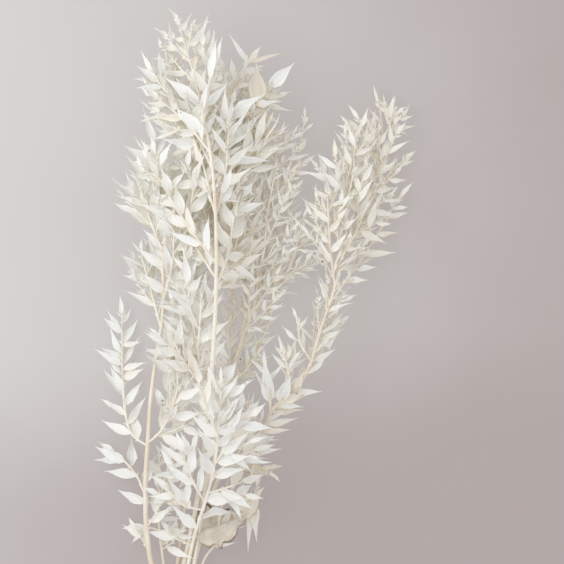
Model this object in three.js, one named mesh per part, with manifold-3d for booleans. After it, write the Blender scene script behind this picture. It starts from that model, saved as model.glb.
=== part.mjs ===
// A bunch of bleached, dried foliage: nine cut stems with side twigs and pointed leaves, tied near their
// cut ends and lying on a flat surface.
//
// Units are millimetres. +Y runs from the cut ends to the tips, +X is to the right and +Z is up, and the
// surface is at z = 0. The origin is on the surface, below the middle of the bunch's length and width.
// Each stem is one solid with its twigs and leaves, as it grew. Leaves are set along every twig by one
// rule with seeded draws, and each is bent clear of everything set before it.

import * as THREE from 'three';
import { mergeVertices } from 'three/addons/utils/BufferGeometryUtils.js';
import Module from 'manifold-3d';

const wasm = await Module();
wasm.setup();

// Leaves. Angles are in radians, and a RANGE is the whole width of a seeded draw.
const LEAF_LENGTH = 43;
const SLIMNESS = 0.28;
const LEAF_THICKNESS = 0.8;
const LEAF_PITCH = 13;
const FIRST_LEAF = 16;
const LEAST_SIZE = 0.84;
const SIZE_RANGE = 0.34;
const LEAST_WIDTH = 0.85;
const WIDTH_RANGE = 0.3;
const TIP_LEAF_LOSS = 0.4;
const RANK_RANGE = 1.5;
const LEAN_RANGE = 1.2;
const ROLL_RANGE = 2.5;
const LEAF_OPENING = 0.62;
const OPENING_RANGE = 0.5;
const LAST_LEAF_OPENING = 0.12;
const LEAF_SAG = 0.15;
const LEAST_FOLD = 0.22;
const FOLD_RANGE = 0.2;
const CURL_RANGE = 1.1;
const CURL_DOWN_SHARE = 0.62;
const TWIST_RANGE = 0.9;
const SWEEP_RANGE = 0.22;
const LAST_LEAF_INSET = 0.5;
const BLADE_CORNERS = [[-1, 1], [1, 1], [1, -1], [-1, -1]];
const BLADE_ROWS = 3;
const MIDRIB_REACH = 0.1;

// Near the surface a leaf is less free to point and to roll
const FREE_HEIGHT = 45;
const LEAST_FREEDOM = 0.3;
const ROLL_HEIGHT = 15;

// How a leaf is turned clear of what is there already
const CLEARANCE = 0.35;
const WAYS_TO_TURN = 7;
const WAY_TURN = 0.42;
const WAY_LEAF_LOSS = 0.07;
const WAY_OPENING_LOSS = 0.05;

// Twigs and stems. A rod's facets are as long as its STEP.
const TWIG_ROOT_RADIUS = 1.35;
const TIP_RADIUS = 0.7;
const TAPER_POWER = 2.4;
const TWIG_SIDES = 3;
const TWIG_STEP = 24;
const STEM_SIDES = 5;
const STEM_STEP = 42;
const CURVE_TENSION = 0.5;

// Faces narrower than a sliver go when a stem's solids are joined, and points closer than this are one
const SLIVER = 0.2;
const MERGE_DISTANCE = 1e-4;

// Seeded draws: each leaf has its own seed from its axis and its number, and each axis has one for its rank
const MODULUS = 2147483647;
const MULTIPLIER = 16807;
const SEED_STRIDE = 7919;
const SEED_START = 104729;
const UNUSED_DRAWS = 3;
const MOST_LEAVES = 100;
const RANK_SEED = 7000;

// Tie
const TIE_AT = -349;
const TIE_MIDDLE = new THREE.Vector3(-95.5, TIE_AT, 11.85);
const TIE_HALF_WIDTH = 20.2;
const TIE_HALF_HEIGHT = 9.4;
const TIE_RADIUS = 20;
const TIE_SIDES = 16;
const CORD_DIAMETER = 2.6;
const CORD_TURNS = 4;
const CORD_FACETS = 3;
const GROOVE_HEIGHT = 0.55;

// Every route starts at the cut end. A twig's route starts on its parent, at the height "at" along Y.
// "leafy" is the height along Y from which the stem itself has leaves, "leaf" is how long its leaves and
// its twigs' leaves are, and "slim" is how wide they are for their length.
const STEMS = [
  {
    name: 'stem_tall_centre',
    radius: 3,
    leafy: 262,
    route: [
      [-95, -392, 12], [-98.5, TIE_AT, 14.8], [-83, -276, 17], [-67, -200, 42], [-56, -125, 72],
      [-48, -45, 98], [-42, 60, 112], [-44, 160, 106], [-52, 230, 96], [-70, 310, 82], [-90, 376, 70],
    ],
    twigs: [
      { at: 140, leaf: 47, route: [[-69, 232, 88], [-120, 314, 84]] },
      { at: 216, leaf: 47, route: [[-82, 256, 92], [-112, 280, 94]] },
      { at: 196, leaf: 50, route: [[-78, 262, 70], [-102, 325, 62]] },
      { at: 84, leaf: 52, route: [[-84, 140, 96], [-124, 210, 94]] },
      { at: 66, leaf: 52, route: [[-74, 124, 84], [-66, 196, 96]] },
      { at: 140, leaf: 50, route: [[-32, 190, 90], [-28, 252, 88]] },
      { at: 56, leaf: 50, route: [[-28, 100, 84], [-20, 166, 80]] },
      { at: 256, route: [[-50, 310, 84], [-46, 342, 84]] },
      { at: 172, leaf: 50, route: [[-28, 214, 72], [-34, 276, 72]] },
    ],
  },
  {
    name: 'stem_left',
    radius: 3,
    leafy: 62,
    leaf: 46,
    route: [
      [-109, -388, 13], [-105, TIE_AT, 14.8], [-126, -276, 26], [-131, -200, 40], [-126, -120, 52],
      [-121, -60, 60], [-109, 10, 68], [-107, 50, 70], [-110, 115, 68], [-116, 180, 62],
      [-119, 226, 56],
    ],
    twigs: [
      { at: -136, route: [[-151, -118, 32], [-160, -60, 14], [-161, 24, 10]] },
      { at: -198, leaf: 46, route: [[-146, -168, 18], [-172, -148, 9]] },
      { at: -132, route: [[-107, -113, 68], [-89, -65, 86], [-93, -14, 92]] },
      { at: 40, route: [[-96, 85, 78], [-92, 148, 80]] },
      { at: 104, route: [[-124, 140, 78], [-134, 176, 78]] },
      { at: 6, route: [[-122, 50, 56], [-134, 92, 50]] },
    ],
  },
  {
    name: 'stem_back_centre',
    radius: 2.5,
    leafy: 84,
    leaf: 31,
    slim: 0.23,
    route: [
      [-96, -386, 6.5], [-95, TIE_AT, 8.8], [-77, -276, 7], [-60, -200, 12], [-46, -150, 16],
      [-36, -90, 19], [-21, -31, 20], [-9, 12, 18], [-11, 60, 16], [-3, 125, 15], [8, 180, 14],
      [12, 222, 12],
    ],
    twigs: [
      { at: 18, route: [[15, 52, 24], [45, 78, 28], [62, 142, 30]] },
      { at: 45, route: [[12, 92, 36], [17, 143, 38], [28, 200, 36]] },
      { at: 36, route: [[24, 92, 12], [48, 168, 8], [63, 262, 8]] },
      { at: 100, route: [[-22, 150, 12], [-34, 204, 10]] },
      { at: -61, route: [[-12, -50, 22], [6, -26, 24]] },
      { at: 130, route: [[22, 190, 10], [38, 238, 8]] },
      { at: 62, route: [[-28, 108, 32], [-34, 158, 34]] },
    ],
  },
  {
    name: 'stem_right',
    radius: 2.5,
    leafy: -150,
    leaf: 38,
    slim: 0.25,
    route: [
      [-90, -390, 7], [-88.5, TIE_AT, 8.8], [-70, -276, 10], [-53, -205, 18], [-33, -163, 28],
      [5, -136, 38], [23, -91, 46], [61, -61, 48], [76, -13, 46], [97, 47, 42], [110, 107, 40],
      [116, 155, 40], [111, 219, 40],
    ],
    twigs: [
      {
        at: 85,
        route: [[127, 127, 32], [149, 185, 22], [159, 240, 15], [154, 283, 12]],
        twigs: [{ at: 150, route: [[165, 194, 14], [188, 214, 10]] }],
      },
      { at: 50, route: [[123, 77, 26], [153, 122, 13], [178, 164, 10]] },
      { at: -34, route: [[57, -13, 56], [54, 16, 58]] },
      { at: -96, route: [[20, -62, 56], [15, -36, 58]] },
      { at: -146, route: [[0, -160, 32], [20, -170, 30]] },
      { at: -4, route: [[92, -10, 34], [108, 12, 30]] },
      { at: 58, route: [[93, 112, 52], [90, 172, 56]] },
    ],
  },
  {
    name: 'stem_front',
    radius: 2.25,
    leafy: -225,
    leaf: 48,
    slim: 0.3,
    route: [
      [-88, -394, 13], [-91.5, TIE_AT, 14.8], [-78, -276, 21], [-70, -241, 33], [-56, -199, 54],
      [-44, -151, 80], [-40, -110, 96], [-37, -58, 106],
    ],
    twigs: [
      { at: -178, route: [[-28, -152, 80], [2, -138, 82]] },
      { at: -204, route: [[-72, -178, 68], [-84, -142, 80]] },
      { at: -122, route: [[-54, -86, 108], [-62, -58, 114]] },
      { at: -156, route: [[-24, -122, 92], [-14, -90, 98]] },
      { at: -192, route: [[-38, -188, 60], [-12, -178, 62]] },
      { at: -214, route: [[-84, -208, 58], [-102, -188, 62]] },
    ],
  },
  {
    name: 'stem_front_left',
    radius: 2,
    leafy: -112,
    leaf: 44,
    route: [
      [-82, -384, 14], [-85, TIE_AT, 14.8], [-71, -276, 19], [-60, -200, 34], [-51, -125, 56],
      [-56, -79, 70], [-66, -19, 84], [-73, 30, 90], [-78, 70, 92], [-80, 100, 92],
    ],
    twigs: [
      { at: -62, route: [[-82, -32, 96], [-96, 0, 98]] },
      { at: -22, route: [[-62, 12, 98], [-60, 48, 100]] },
    ],
  },
  {
    name: 'stem_back_top',
    radius: 2.25,
    leafy: 124,
    leaf: 48,
    slim: 0.3,
    route: [
      [-100, -391, 8.5], [-101.5, TIE_AT, 8.8], [-92, -276, 9], [-81, -200, 18], [-66, -125, 28],
      [-52, -10, 40], [-42, 80, 46], [-29, 145, 50], [-22, 205, 52], [-9, 255, 50], [20, 298, 46],
    ],
    twigs: [
      { at: 148, route: [[-37, 240, 46], [-25, 300, 44], [-5, 328, 44]] },
      { at: 186, route: [[0, 222, 60], [16, 248, 60]] },
      { at: 40, route: [[-22, 100, 56], [-10, 158, 58]] },
      { at: 86, route: [[-60, 150, 52], [-66, 214, 52]] },
      { at: -20, route: [[-74, 40, 46], [-88, 112, 46]] },
    ],
  },
  {
    name: 'stem_low_left',
    radius: 1.75,
    leafy: -262,
    leaf: 36,
    route: [
      [-109, -380, 8], [-107, TIE_AT, 9.2], [-110, -276, 10], [-117, -230, 14], [-111, -187, 24],
      [-99, -157, 38], [-96, -104, 54],
    ],
    twigs: [
      { at: -244, route: [[-126, -238, 10], [-139, -244, 8]] },
      { at: -212, route: [[-98, -200, 34], [-86, -184, 42]] },
    ],
  },
  {
    name: 'stem_low_right',
    radius: 1.75,
    leafy: -262,
    leaf: 34,
    route: [
      [-80, -383, 7], [-82.5, TIE_AT, 8.8], [-60, -276, 12], [-33, -243, 18], [-6, -214, 24],
      [4, -190, 26],
    ],
    twigs: [
      { at: -254, leaf: 40, route: [[-42, -226, 26], [-34, -198, 30]] },
    ],
  },
];

const bleachedLeaf = new THREE.MeshStandardMaterial({ color: 0xf1ece0, roughness: 0.75, metalness: 0 });
const twineFibre = new THREE.MeshStandardMaterial({ color: 0xb79d72, roughness: 0.95, metalness: 0 });

// Seeded draws between 0 and 1, from a plain multiplicative generator
function draws(seed, count) {
  let state = (seed * SEED_STRIDE + SEED_START) % MODULUS;
  const drawn = [];
  for (let i = 0; i < count + UNUSED_DRAWS; i += 1) {
    state = (state * MULTIPLIER) % MODULUS;
    drawn.push(state / MODULUS);
  }
  return drawn.slice(UNUSED_DRAWS);
}

// A closed geometry as a solid, its shared vertices merged and its collapsed triangles left out
function solidFrom(geometry) {
  const bare = geometry.clone();
  bare.deleteAttribute('normal');
  bare.deleteAttribute('uv');
  const merged = mergeVertices(bare, MERGE_DISTANCE);
  const corners = merged.index.array;
  const kept = [];
  for (let i = 0; i < corners.length; i += 3) {
    const [a, b, c] = corners.slice(i, i + 3);
    if (a !== b && b !== c && c !== a) kept.push(a, b, c);
  }
  const mesh = new wasm.Mesh({
    numProp: 3,
    vertProperties: new Float32Array(merged.attributes.position.array),
    triVerts: new Uint32Array(kept),
  });
  return new wasm.Manifold(mesh);
}

function geometryFrom(solid) {
  const mesh = solid.getMesh();
  const geometry = new THREE.BufferGeometry();
  geometry.setAttribute('position', new THREE.BufferAttribute(new Float32Array(mesh.vertProperties), 3));
  geometry.setIndex(new THREE.BufferAttribute(new Uint32Array(mesh.triVerts), 1));
  geometry.computeVertexNormals();
  return geometry;
}

// Moves each vertex of a geometry to the point that place(x, y, z) gives for it
function reshape(geometry, place) {
  const positions = geometry.attributes.position;
  for (let i = 0; i < positions.count; i += 1) {
    const point = place(positions.getX(i), positions.getY(i), positions.getZ(i));
    positions.setXYZ(i, point.x, point.y, point.z);
  }
  return geometry;
}

// An axis is a row of straight lengths along a smooth curve through its route, as a twig has from leaf to
// leaf, with places on it found by distance or by height along Y
function makeAxis(route, step, number) {
  const knots = route.map((point) => new THREE.Vector3(...point));
  const curve = new THREE.CatmullRomCurve3(knots, false, 'catmullrom', CURVE_TENSION);
  const steps = Math.max(2, Math.round(curve.getLength() / step));
  const points = curve.getPoints(steps);
  const distances = [0];
  for (let i = 1; i < points.length; i += 1) {
    distances.push(distances[i - 1] + points[i].distanceTo(points[i - 1]));
  }
  return { points, distances, length: distances.at(-1), number };
}

function placeAt(axis, distance) {
  const last = axis.points.length - 1;
  let span = 1;
  while (span < last && axis.distances[span] < distance) span += 1;
  const [from, to] = [axis.points[span - 1], axis.points[span]];
  const share = (distance - axis.distances[span - 1]) / (axis.distances[span] - axis.distances[span - 1]);
  const along = to.clone().sub(from).normalize();
  const side = along.clone().cross(new THREE.Vector3(0, 0, 1)).normalize();
  return { point: from.clone().lerp(to, share), along, side, up: side.clone().cross(along) };
}

function distanceAtHeight(axis, height) {
  const above = axis.points.findIndex((point) => point.y >= height);
  const [from, to] = [axis.points[above - 1], axis.points[above]];
  const share = (height - from.y) / (to.y - from.y);
  return axis.distances[above - 1] + share * (axis.distances[above] - axis.distances[above - 1]);
}

// A tapering round rod along an axis: a cylinder bent along it
function rodAlong(axis, radiusFrom, radiusTo, sides) {
  const steps = axis.points.length - 1;
  const rod = new THREE.CylinderGeometry(1, 1, 1, sides, steps);
  return solidFrom(reshape(rod, (x, y, z) => {
    const distance = axis.distances[Math.round((y + 0.5) * steps)];
    const radius = radiusFrom + (radiusTo - radiusFrom) * (distance / axis.length) ** TAPER_POWER;
    const place = placeAt(axis, distance);
    return place.point.addScaledVector(place.side, x * radius).addScaledVector(place.up, z * radius);
  }));
}

// How one leaf grows: where its root is, where it points, which way its face looks and how it bends.
// A later "way" shortens it and turns it out of the way of what is there already.
function leafGrowth(axis, distance, number, share, way) {
  const [size, slim, spread, lean, roll, curl, twist, sweep] = draws(axis.number * MOST_LEAVES + number, 8);
  const { point, along, side, up } = placeAt(axis, distance);
  const freedom = Math.min(1, Math.max(LEAST_FREEDOM, point.z / FREE_HEIGHT));
  const grown = axis.leaf * (LEAST_SIZE + SIZE_RANGE * size) * (1 - TIP_LEAF_LOSS * share * share);
  const length = grown * (1 - WAY_LEAF_LOSS * way);
  const turned = way * (way % 2 ? WAY_TURN : -WAY_TURN);
  const wander = axis.rank + (lean - 0.5) * LEAN_RANGE + turned;
  const rank = (number % 2) * Math.PI + wander * freedom;
  const outward = side.clone().multiplyScalar(Math.cos(rank)).addScaledVector(up, Math.sin(rank));
  const spreading = LEAF_OPENING + (spread - 0.5) * OPENING_RANGE - WAY_OPENING_LOSS * way;
  const opening = share === 1 ? LAST_LEAF_OPENING : spreading;
  const direction = along.clone().multiplyScalar(Math.cos(opening));
  direction.addScaledVector(outward, Math.sin(opening));
  direction.z = Math.max(direction.z - LEAF_SAG, -point.z / length);
  direction.normalize();
  const across = direction.clone().cross(new THREE.Vector3(0, 0, 1)).normalize();
  const face = across.clone().cross(direction);
  const rolled = ((roll - 0.5) * ROLL_RANGE + turned / 2) * Math.min(1, point.z / ROLL_HEIGHT);
  return {
    root: point,
    direction,
    across: across.clone().multiplyScalar(Math.cos(rolled)).addScaledVector(face, Math.sin(rolled)),
    length,
    halfWidth: (length / 2) * axis.slim * (LEAST_WIDTH + WIDTH_RANGE * slim),
    fold: LEAST_FOLD + FOLD_RANGE * slim,
    curl: (curl - CURL_DOWN_SHARE) * CURL_RANGE,
    twist: (twist - 0.5) * TWIST_RANGE,
    sweep: (sweep - 0.5) * SWEEP_RANGE,
  };
}

// Half the width of a leaf at a share of its length, as a share of the widest, which is at one third: an
// oval with a long drawn-out point
function outline(share) {
  return (27 / 4) * share * (1 - share) ** 2;
}

// A point of the leaf's middle sheet: across from -1 to 1 between its edges, share from root to tip
function sheetPoint(leaf, across, share) {
  const bend = leaf.curl * share;
  const facing = leaf.across.clone().cross(leaf.direction);
  const point = leaf.root.clone();
  const reach = leaf.length * share;
  point.addScaledVector(leaf.direction, reach * (1 - (bend * bend) / 6));
  point.addScaledVector(facing, (reach * bend) / 2);
  point.addScaledVector(leaf.across, leaf.sweep * leaf.length * share * share);
  const normal = facing.clone().multiplyScalar(Math.cos(bend));
  normal.addScaledVector(leaf.direction, -Math.sin(bend));
  const turn = leaf.twist * share;
  const flat = leaf.across.clone().multiplyScalar(Math.cos(turn)).addScaledVector(normal, Math.sin(turn));
  const raised = normal.clone().multiplyScalar(Math.cos(turn)).addScaledVector(leaf.across, -Math.sin(turn));
  const width = leaf.halfWidth * outline(share);
  point.addScaledVector(flat, across * width * Math.cos(leaf.fold));
  point.addScaledVector(raised, Math.abs(across) * width * Math.sin(leaf.fold));
  point.z = Math.max(point.z, share === 1 ? 0 : LEAF_THICKNESS / 2);
  return point;
}

// A leaf as a solid: a sheet wrapped round the four corners of its section. It is as thick at its edges
// as in its middle, starts as an upright edge inside the wood and runs out to a point at its tip.
function bladeSolid(leaf) {
  const sides = BLADE_CORNERS.length;
  const skin = new THREE.PlaneGeometry(sides, 1, sides, BLADE_ROWS);
  return solidFrom(reshape(skin, (x, y) => {
    const share = y + 0.5;
    const [across, up] = BLADE_CORNERS[Math.round(x + sides / 2) % sides];
    const point = sheetPoint(leaf, across, share);
    if (share === 1) return point;
    const near = Math.max(share, MIDRIB_REACH);
    const width = sheetPoint(leaf, 1, near).sub(sheetPoint(leaf, -1, near));
    const run = sheetPoint(leaf, 0, near + MIDRIB_REACH);
    run.sub(sheetPoint(leaf, 0, near - MIDRIB_REACH));
    return point.addScaledVector(width.cross(run).normalize(), (up * LEAF_THICKNESS) / 2);
  }));
}

// What is set so far, so that a new leaf can be turned clear of it
const placed = [];

function keep(solid, axis) {
  placed.push({ solid, box: solid.boundingBox(), axis });
}

function boxesMeet(a, b) {
  return [0, 1, 2].every((i) => a.min[i] - CLEARANCE <= b.max[i] && b.min[i] - CLEARANCE <= a.max[i]);
}

function isClear(solid, axis) {
  const box = solid.boundingBox();
  return placed.every((other) => (
    other.axis === axis || !boxesMeet(box, other.box)
    || other.solid.minGap(solid, CLEARANCE) >= CLEARANCE
  ));
}

let axisCount = 0;

// The stem's own axis and, under it, those of its twigs
function growAxes(spec, parent) {
  const start = parent ? [placeAt(parent, distanceAtHeight(parent, spec.at)).point.toArray()] : [];
  const axis = makeAxis([...start, ...spec.route], parent ? TWIG_STEP : STEM_STEP, axisCount);
  axisCount += 1;
  axis.rank = (draws(axis.number + RANK_SEED, 1)[0] - 0.5) * RANK_RANGE;
  axis.leaf = spec.leaf ?? parent?.leaf ?? LEAF_LENGTH;
  axis.slim = spec.slim ?? parent?.slim ?? SLIMNESS;
  axis.bare = parent ? FIRST_LEAF : distanceAtHeight(axis, spec.leafy);
  axis.rod = parent
    ? rodAlong(axis, TWIG_ROOT_RADIUS, TIP_RADIUS, TWIG_SIDES)
    : rodAlong(axis, spec.radius, TIP_RADIUS, STEM_SIDES);
  const twigs = (spec.twigs ?? []).map((twig) => growAxes(twig, axis));
  return [axis, ...twigs.flat()];
}

function growLeaves(axis) {
  const count = Math.max(2, Math.round((axis.length - axis.bare) / LEAF_PITCH));
  const blades = [];
  for (let number = 0; number <= count; number += 1) {
    const share = number / count;
    const distance = axis.bare + (axis.length - axis.bare - LAST_LEAF_INSET) * share;
    for (let way = 0; way < WAYS_TO_TURN; way += 1) {
      const blade = bladeSolid(leafGrowth(axis, distance, number, share, way));
      if (isClear(blade, axis)) {
        keep(blade, null);
        blades.push(blade);
        break;
      }
    }
  }
  return blades;
}

// The tie is one ring whose outside is ridged like turns of cord side by side, bent to an oval
function twineTie() {
  const ridges = CORD_TURNS * CORD_FACETS;
  const halfLength = (CORD_TURNS * CORD_DIAMETER) / 2;
  const profile = [new THREE.Vector2(TIE_RADIUS, -halfLength)];
  for (let i = 0; i <= ridges; i += 1) {
    const crown = Math.abs(Math.sin((Math.PI * i) / CORD_FACETS));
    const rise = CORD_DIAMETER * (GROOVE_HEIGHT + (1 - GROOVE_HEIGHT) * crown);
    profile.push(new THREE.Vector2(TIE_RADIUS + rise, halfLength * ((2 * i) / ridges - 1)));
  }
  profile.push(new THREE.Vector2(TIE_RADIUS, halfLength), new THREE.Vector2(TIE_RADIUS, -halfLength));
  const ring = reshape(new THREE.LatheGeometry(profile, TIE_SIDES), (x, y, z) => {
    const angle = Math.atan2(z, x);
    const rise = Math.hypot(x, z) - TIE_RADIUS;
    const normal = new THREE.Vector2(
      Math.cos(angle) * TIE_HALF_HEIGHT,
      Math.sin(angle) * TIE_HALF_WIDTH,
    ).normalize();
    return new THREE.Vector3(
      TIE_MIDDLE.x + Math.cos(angle) * TIE_HALF_WIDTH + normal.x * rise,
      TIE_MIDDLE.y + y,
      TIE_MIDDLE.z + Math.sin(angle) * TIE_HALF_HEIGHT + normal.y * rise,
    );
  });
  return solidFrom(ring);
}

function named(name, solid, material) {
  const mesh = new THREE.Mesh(geometryFrom(solid), material);
  mesh.name = name;
  return mesh;
}

const bunch = new THREE.Group();
const grown = STEMS.map((spec) => ({ name: spec.name, axes: growAxes(spec, null) }));
grown.forEach((stem) => stem.axes.forEach((axis) => keep(axis.rod, axis)));
grown.forEach((stem) => {
  const blades = stem.axes.flatMap((axis) => growLeaves(axis));
  const parts = [...stem.axes.map((axis) => axis.rod), ...blades];
  bunch.add(named(stem.name, wasm.Manifold.union(parts).asOriginal().simplify(SLIVER), bleachedLeaf));
});
bunch.add(named('twine_tie', twineTie(), twineFibre));

export default bunch;
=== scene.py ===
"""A bunch of bleached, dried foliage on a pale floor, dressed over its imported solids.

Every stem's faceted solid is replaced by fine wood and fine leaves that grow by the same rule, and the
short side twigs, bracts, veins, blemishes and the wound twine are added here. Lengths in the growing rule
are millimetres in the frame of the solids: +Y runs from the cut ends to the tips and +Z is up.
"""

import math

import bmesh
import bpy
from bpy.props import FloatProperty, FloatVectorProperty, IntProperty, PointerProperty
from mathutils import Matrix, Vector
from mathutils.kdtree import KDTree


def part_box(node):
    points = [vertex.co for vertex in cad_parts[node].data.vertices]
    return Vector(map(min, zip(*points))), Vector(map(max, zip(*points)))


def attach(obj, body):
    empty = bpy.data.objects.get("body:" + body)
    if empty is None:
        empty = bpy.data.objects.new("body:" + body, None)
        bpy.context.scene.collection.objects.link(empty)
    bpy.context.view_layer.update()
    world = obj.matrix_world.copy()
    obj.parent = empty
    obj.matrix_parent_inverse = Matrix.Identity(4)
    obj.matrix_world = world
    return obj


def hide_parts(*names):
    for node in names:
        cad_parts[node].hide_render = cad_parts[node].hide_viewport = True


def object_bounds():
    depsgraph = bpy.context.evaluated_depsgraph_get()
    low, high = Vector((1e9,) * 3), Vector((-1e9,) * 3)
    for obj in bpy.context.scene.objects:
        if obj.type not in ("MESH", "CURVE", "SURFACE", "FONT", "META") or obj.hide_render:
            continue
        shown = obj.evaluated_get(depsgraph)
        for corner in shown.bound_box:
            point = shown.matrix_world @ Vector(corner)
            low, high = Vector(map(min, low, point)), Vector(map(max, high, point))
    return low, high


bl_info = {
    "name": "Bleached foliage bunch",
    "version": (1, 0, 0),
    "blender": (4, 5, 0),
    "location": "3D View > Sidebar > Bunch",
    "description": "Dresses the packed bunch with leaves, wood and twine, on a pale floor",
    "category": "Object",
}

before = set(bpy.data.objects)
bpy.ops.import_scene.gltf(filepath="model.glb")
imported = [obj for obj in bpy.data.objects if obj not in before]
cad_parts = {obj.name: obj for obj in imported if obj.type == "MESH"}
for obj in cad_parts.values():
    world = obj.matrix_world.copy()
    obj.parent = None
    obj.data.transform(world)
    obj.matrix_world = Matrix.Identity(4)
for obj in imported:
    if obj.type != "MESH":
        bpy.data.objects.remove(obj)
CAD_LOW, CAD_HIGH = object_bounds()

MM = 0.001
LEAST, MOST = CAD_LOW / MM, CAD_HIGH / MM
UP = Vector((0, 0, 1))

# Leaves of the solids. Angles are in radians, and a RANGE is the whole width of a seeded draw.
LEAF_LENGTH = 43
SLIMNESS = 0.28
LEAF_PITCH = 13
FIRST_LEAF = 16
LEAST_SIZE = 0.84
SIZE_RANGE = 0.34
LEAST_WIDTH = 0.85
WIDTH_RANGE = 0.3
TIP_LEAF_LOSS = 0.4
RANK_RANGE = 1.5
LEAN_RANGE = 1.2
ROLL_RANGE = 2.5
LEAF_OPENING = 0.62
OPENING_RANGE = 0.5
LAST_LEAF_OPENING = 0.12
LEAF_SAG = 0.15
LEAST_FOLD = 0.22
FOLD_RANGE = 0.2
CURL_RANGE = 1.1
CURL_DOWN_SHARE = 0.62
TWIST_RANGE = 0.9
SWEEP_RANGE = 0.22

# Near the floor a leaf is less free to point and to roll
FREE_HEIGHT = 45
LEAST_FREEDOM = 0.3
ROLL_HEIGHT = 15

# How the solids' leaves were turned clear of each other
WAYS_TO_TURN = 7
WAY_TURN = 0.42
WAY_LEAF_LOSS = 0.07
WAY_OPENING_LOSS = 0.05

# How far from a leaf's tip its solid may have one, and how far before a twig's end the last leaf sits
TIP_MATCH = 0.15
LAST_LEAF_INSET = 0.5

# Seeds of the draws, and the generator that the solids use too
MODULUS = 2147483647
MULTIPLIER = 16807
SEED_STRIDE = 7919
SEED_START = 104729
UNUSED_DRAWS = 3
RANK_SEED = 7000
MOST_LEAVES = 100
FINISH_SEED = 500000

# Twigs and stems of the solids
TWIG_ROOT_RADIUS = 1.35
TIP_RADIUS = 0.7
TAPER_POWER = 2.4
TWIG_STEP = 24
STEM_STEP = 42
TIE_AT = -349

# How finely a route is measured and searched, and how far from a corner it is rounded off
ROUTE_SAMPLES = 200
SEARCH_SAMPLES = 60
CORNER_REACH = 7.0

# The scene's own finish of a leaf: a waved margin, a pleat beside the midrib, a hooked tip and a tone
LEAST_WAVE = 0.15
WAVE_RANGE = 0.4
WAVE_TURNS = 9
WAVE_POWER = 1.5
RUFFLE = 0.08
RUFFLE_TURNS = 11
LEAST_LAG = 1.5
LAG_RANGE = 3
WANDER = 0.05
WANDER_TURNS = 15
LEAST_PLEAT = 0.15
PLEAT_RANGE = 0.35
HOOK_RANGE = 0.7
HOOK_FROM = 0.55
STEM_TONE = 0.62
OWN_TONE = 0.38
ODD_FROM = 0.95
ODD_TONE = 0.5
FLOOR_GAP = 0.3

# A single leaf bends less than the others, and the burnt one is crumpled
SINGLE_ROLL_RANGE = 1.0
SINGLE_CURL = 0.3
SINGLE_TWIST = 0.5
SINGLE_SWEEP = 0.5
BURNT_FORM = {"blemish": 2, "wave": 0.18, "ruffle": 0.2, "ripples": 2.4, "pleat": 0.5}

# Columns and rows of each face of a leaf, a bract and the burnt leaf, and what counts as its rim
LEAF_GRID = (4, 7)
BRACT_GRID = (2, 3)
BURNT_GRID = (8, 32)
RIM = 0.01
BLANK_MERGE = 0.001
ROD_MERGE = 0.000001

# Wood: ring spacing and sides by kind, how far along a swelling reaches, the distance that stands for no
# node near, and the tone of twigs and of side twigs
STEM_RINGS = (4, 10)
TWIG_RINGS = (3, 8)
SIDE_RINGS = (3, 5)
SWELLING_REACH = 1.8
FAR_AWAY = 99
TWIG_TONE = 0.2
TWIG_TONE_RANGE = 0.8
SIDE_TONE = 0.1
SIDE_TONE_RANGE = 0.5

# Side twigs, which only the scene has. Their leaves' length and pitch are shares of the parent's leaves.
SIDE_LEAF = 0.94
SIDE_PITCH = 0.28
SIDE_FIRST_LEAF = 7
SIDE_ROOT_RADIUS = 0.85
SIDE_TIP_RADIUS = 0.45
SIDE_OPENING = 0.5
SIDE_OPENING_RANGE = 0.4
SIDE_REACH = 62
SIDE_ROOM = 18
LEAST_SIDE = 16
LEAST_SIDE_SHARE = 0.35
SIDE_SHARE_RANGE = 0.3
SIDE_TURN_RANGE = 2.2
LEAST_SIDE_DROP = 0.3
SIDE_DROP_RANGE = 0.6
SIDE_LEAST_HEIGHT = 5
SIDE_TURN_BACK = 0.25
SIDE_BOX_MARGIN = 14
SIDE_STEP = 9
SIDE_LEAF_INSET = 0.3
SIDE_SEED = 42000
SIDE_NUMBER = 9000
ADDED_NUMBER = 400
ADDED_STEP = 10
ADDED_FIRST_LEAF = 8
SINGLE_SEED = 77000

# What a stem or a twig has where neither its own row nor its parent says otherwise
USUAL = {"leaf": LEAF_LENGTH, "slim": SLIMNESS, "shade": 0.3, "bush": 0.5, "reach": SIDE_REACH, "wood": 0.4}

# Bracts: the scale leaves at the nodes and in a tuft at each tip
TUFT = 4
TUFT_PITCH = 2.2
LEAST_BRACT = 4
BRACT_RANGE = 4
TUFT_BRACT = 5.5
BRACT_SLIMNESS = 0.34
BRACT_TONE = 0.35
BRACT_DRAWS = 50
BOX_MARGIN = 1

# The twine's lay in radians per millimetre, its knot on top of the turns and its two ends from the knot
TWINE_LAY = 1.1
KNOT_ASIDE = 6
KNOT_SIZE = 1.1
KNOT_HEIGHT = 0.9
KNOT_DEPTH = 0.8
TURN_POINTS = 90
KNOT_POINTS = 72
END_POINTS = 40
PLY_OVERLAP = 0.52
PLY_INSET = 1.02
PLY_SIDES = 6
PLY_NORMAL = Vector((0.3, 0.9, 0.3))
TWINE_ENDS = [
    [[5, -6, 0.5], [12, -16, -3], [20, -22, -9]],
    [[-4, -7, 0.5], [-6, -18, -1], [-2, -28, -4]],
]

# Fixed colours of the small marks on leaves and wood
MARGIN_COLOUR = (0.5, 0.37, 0.23, 1)
SCORCHED_COLOUR = (0.62, 0.49, 0.34, 1)
BURN_COLOUR = (0.17, 0.085, 0.035, 1)
SPECK_COLOUR = (0.09, 0.06, 0.03, 1)
SCAR_COLOUR = (0.2, 0.13, 0.07, 1)

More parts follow.
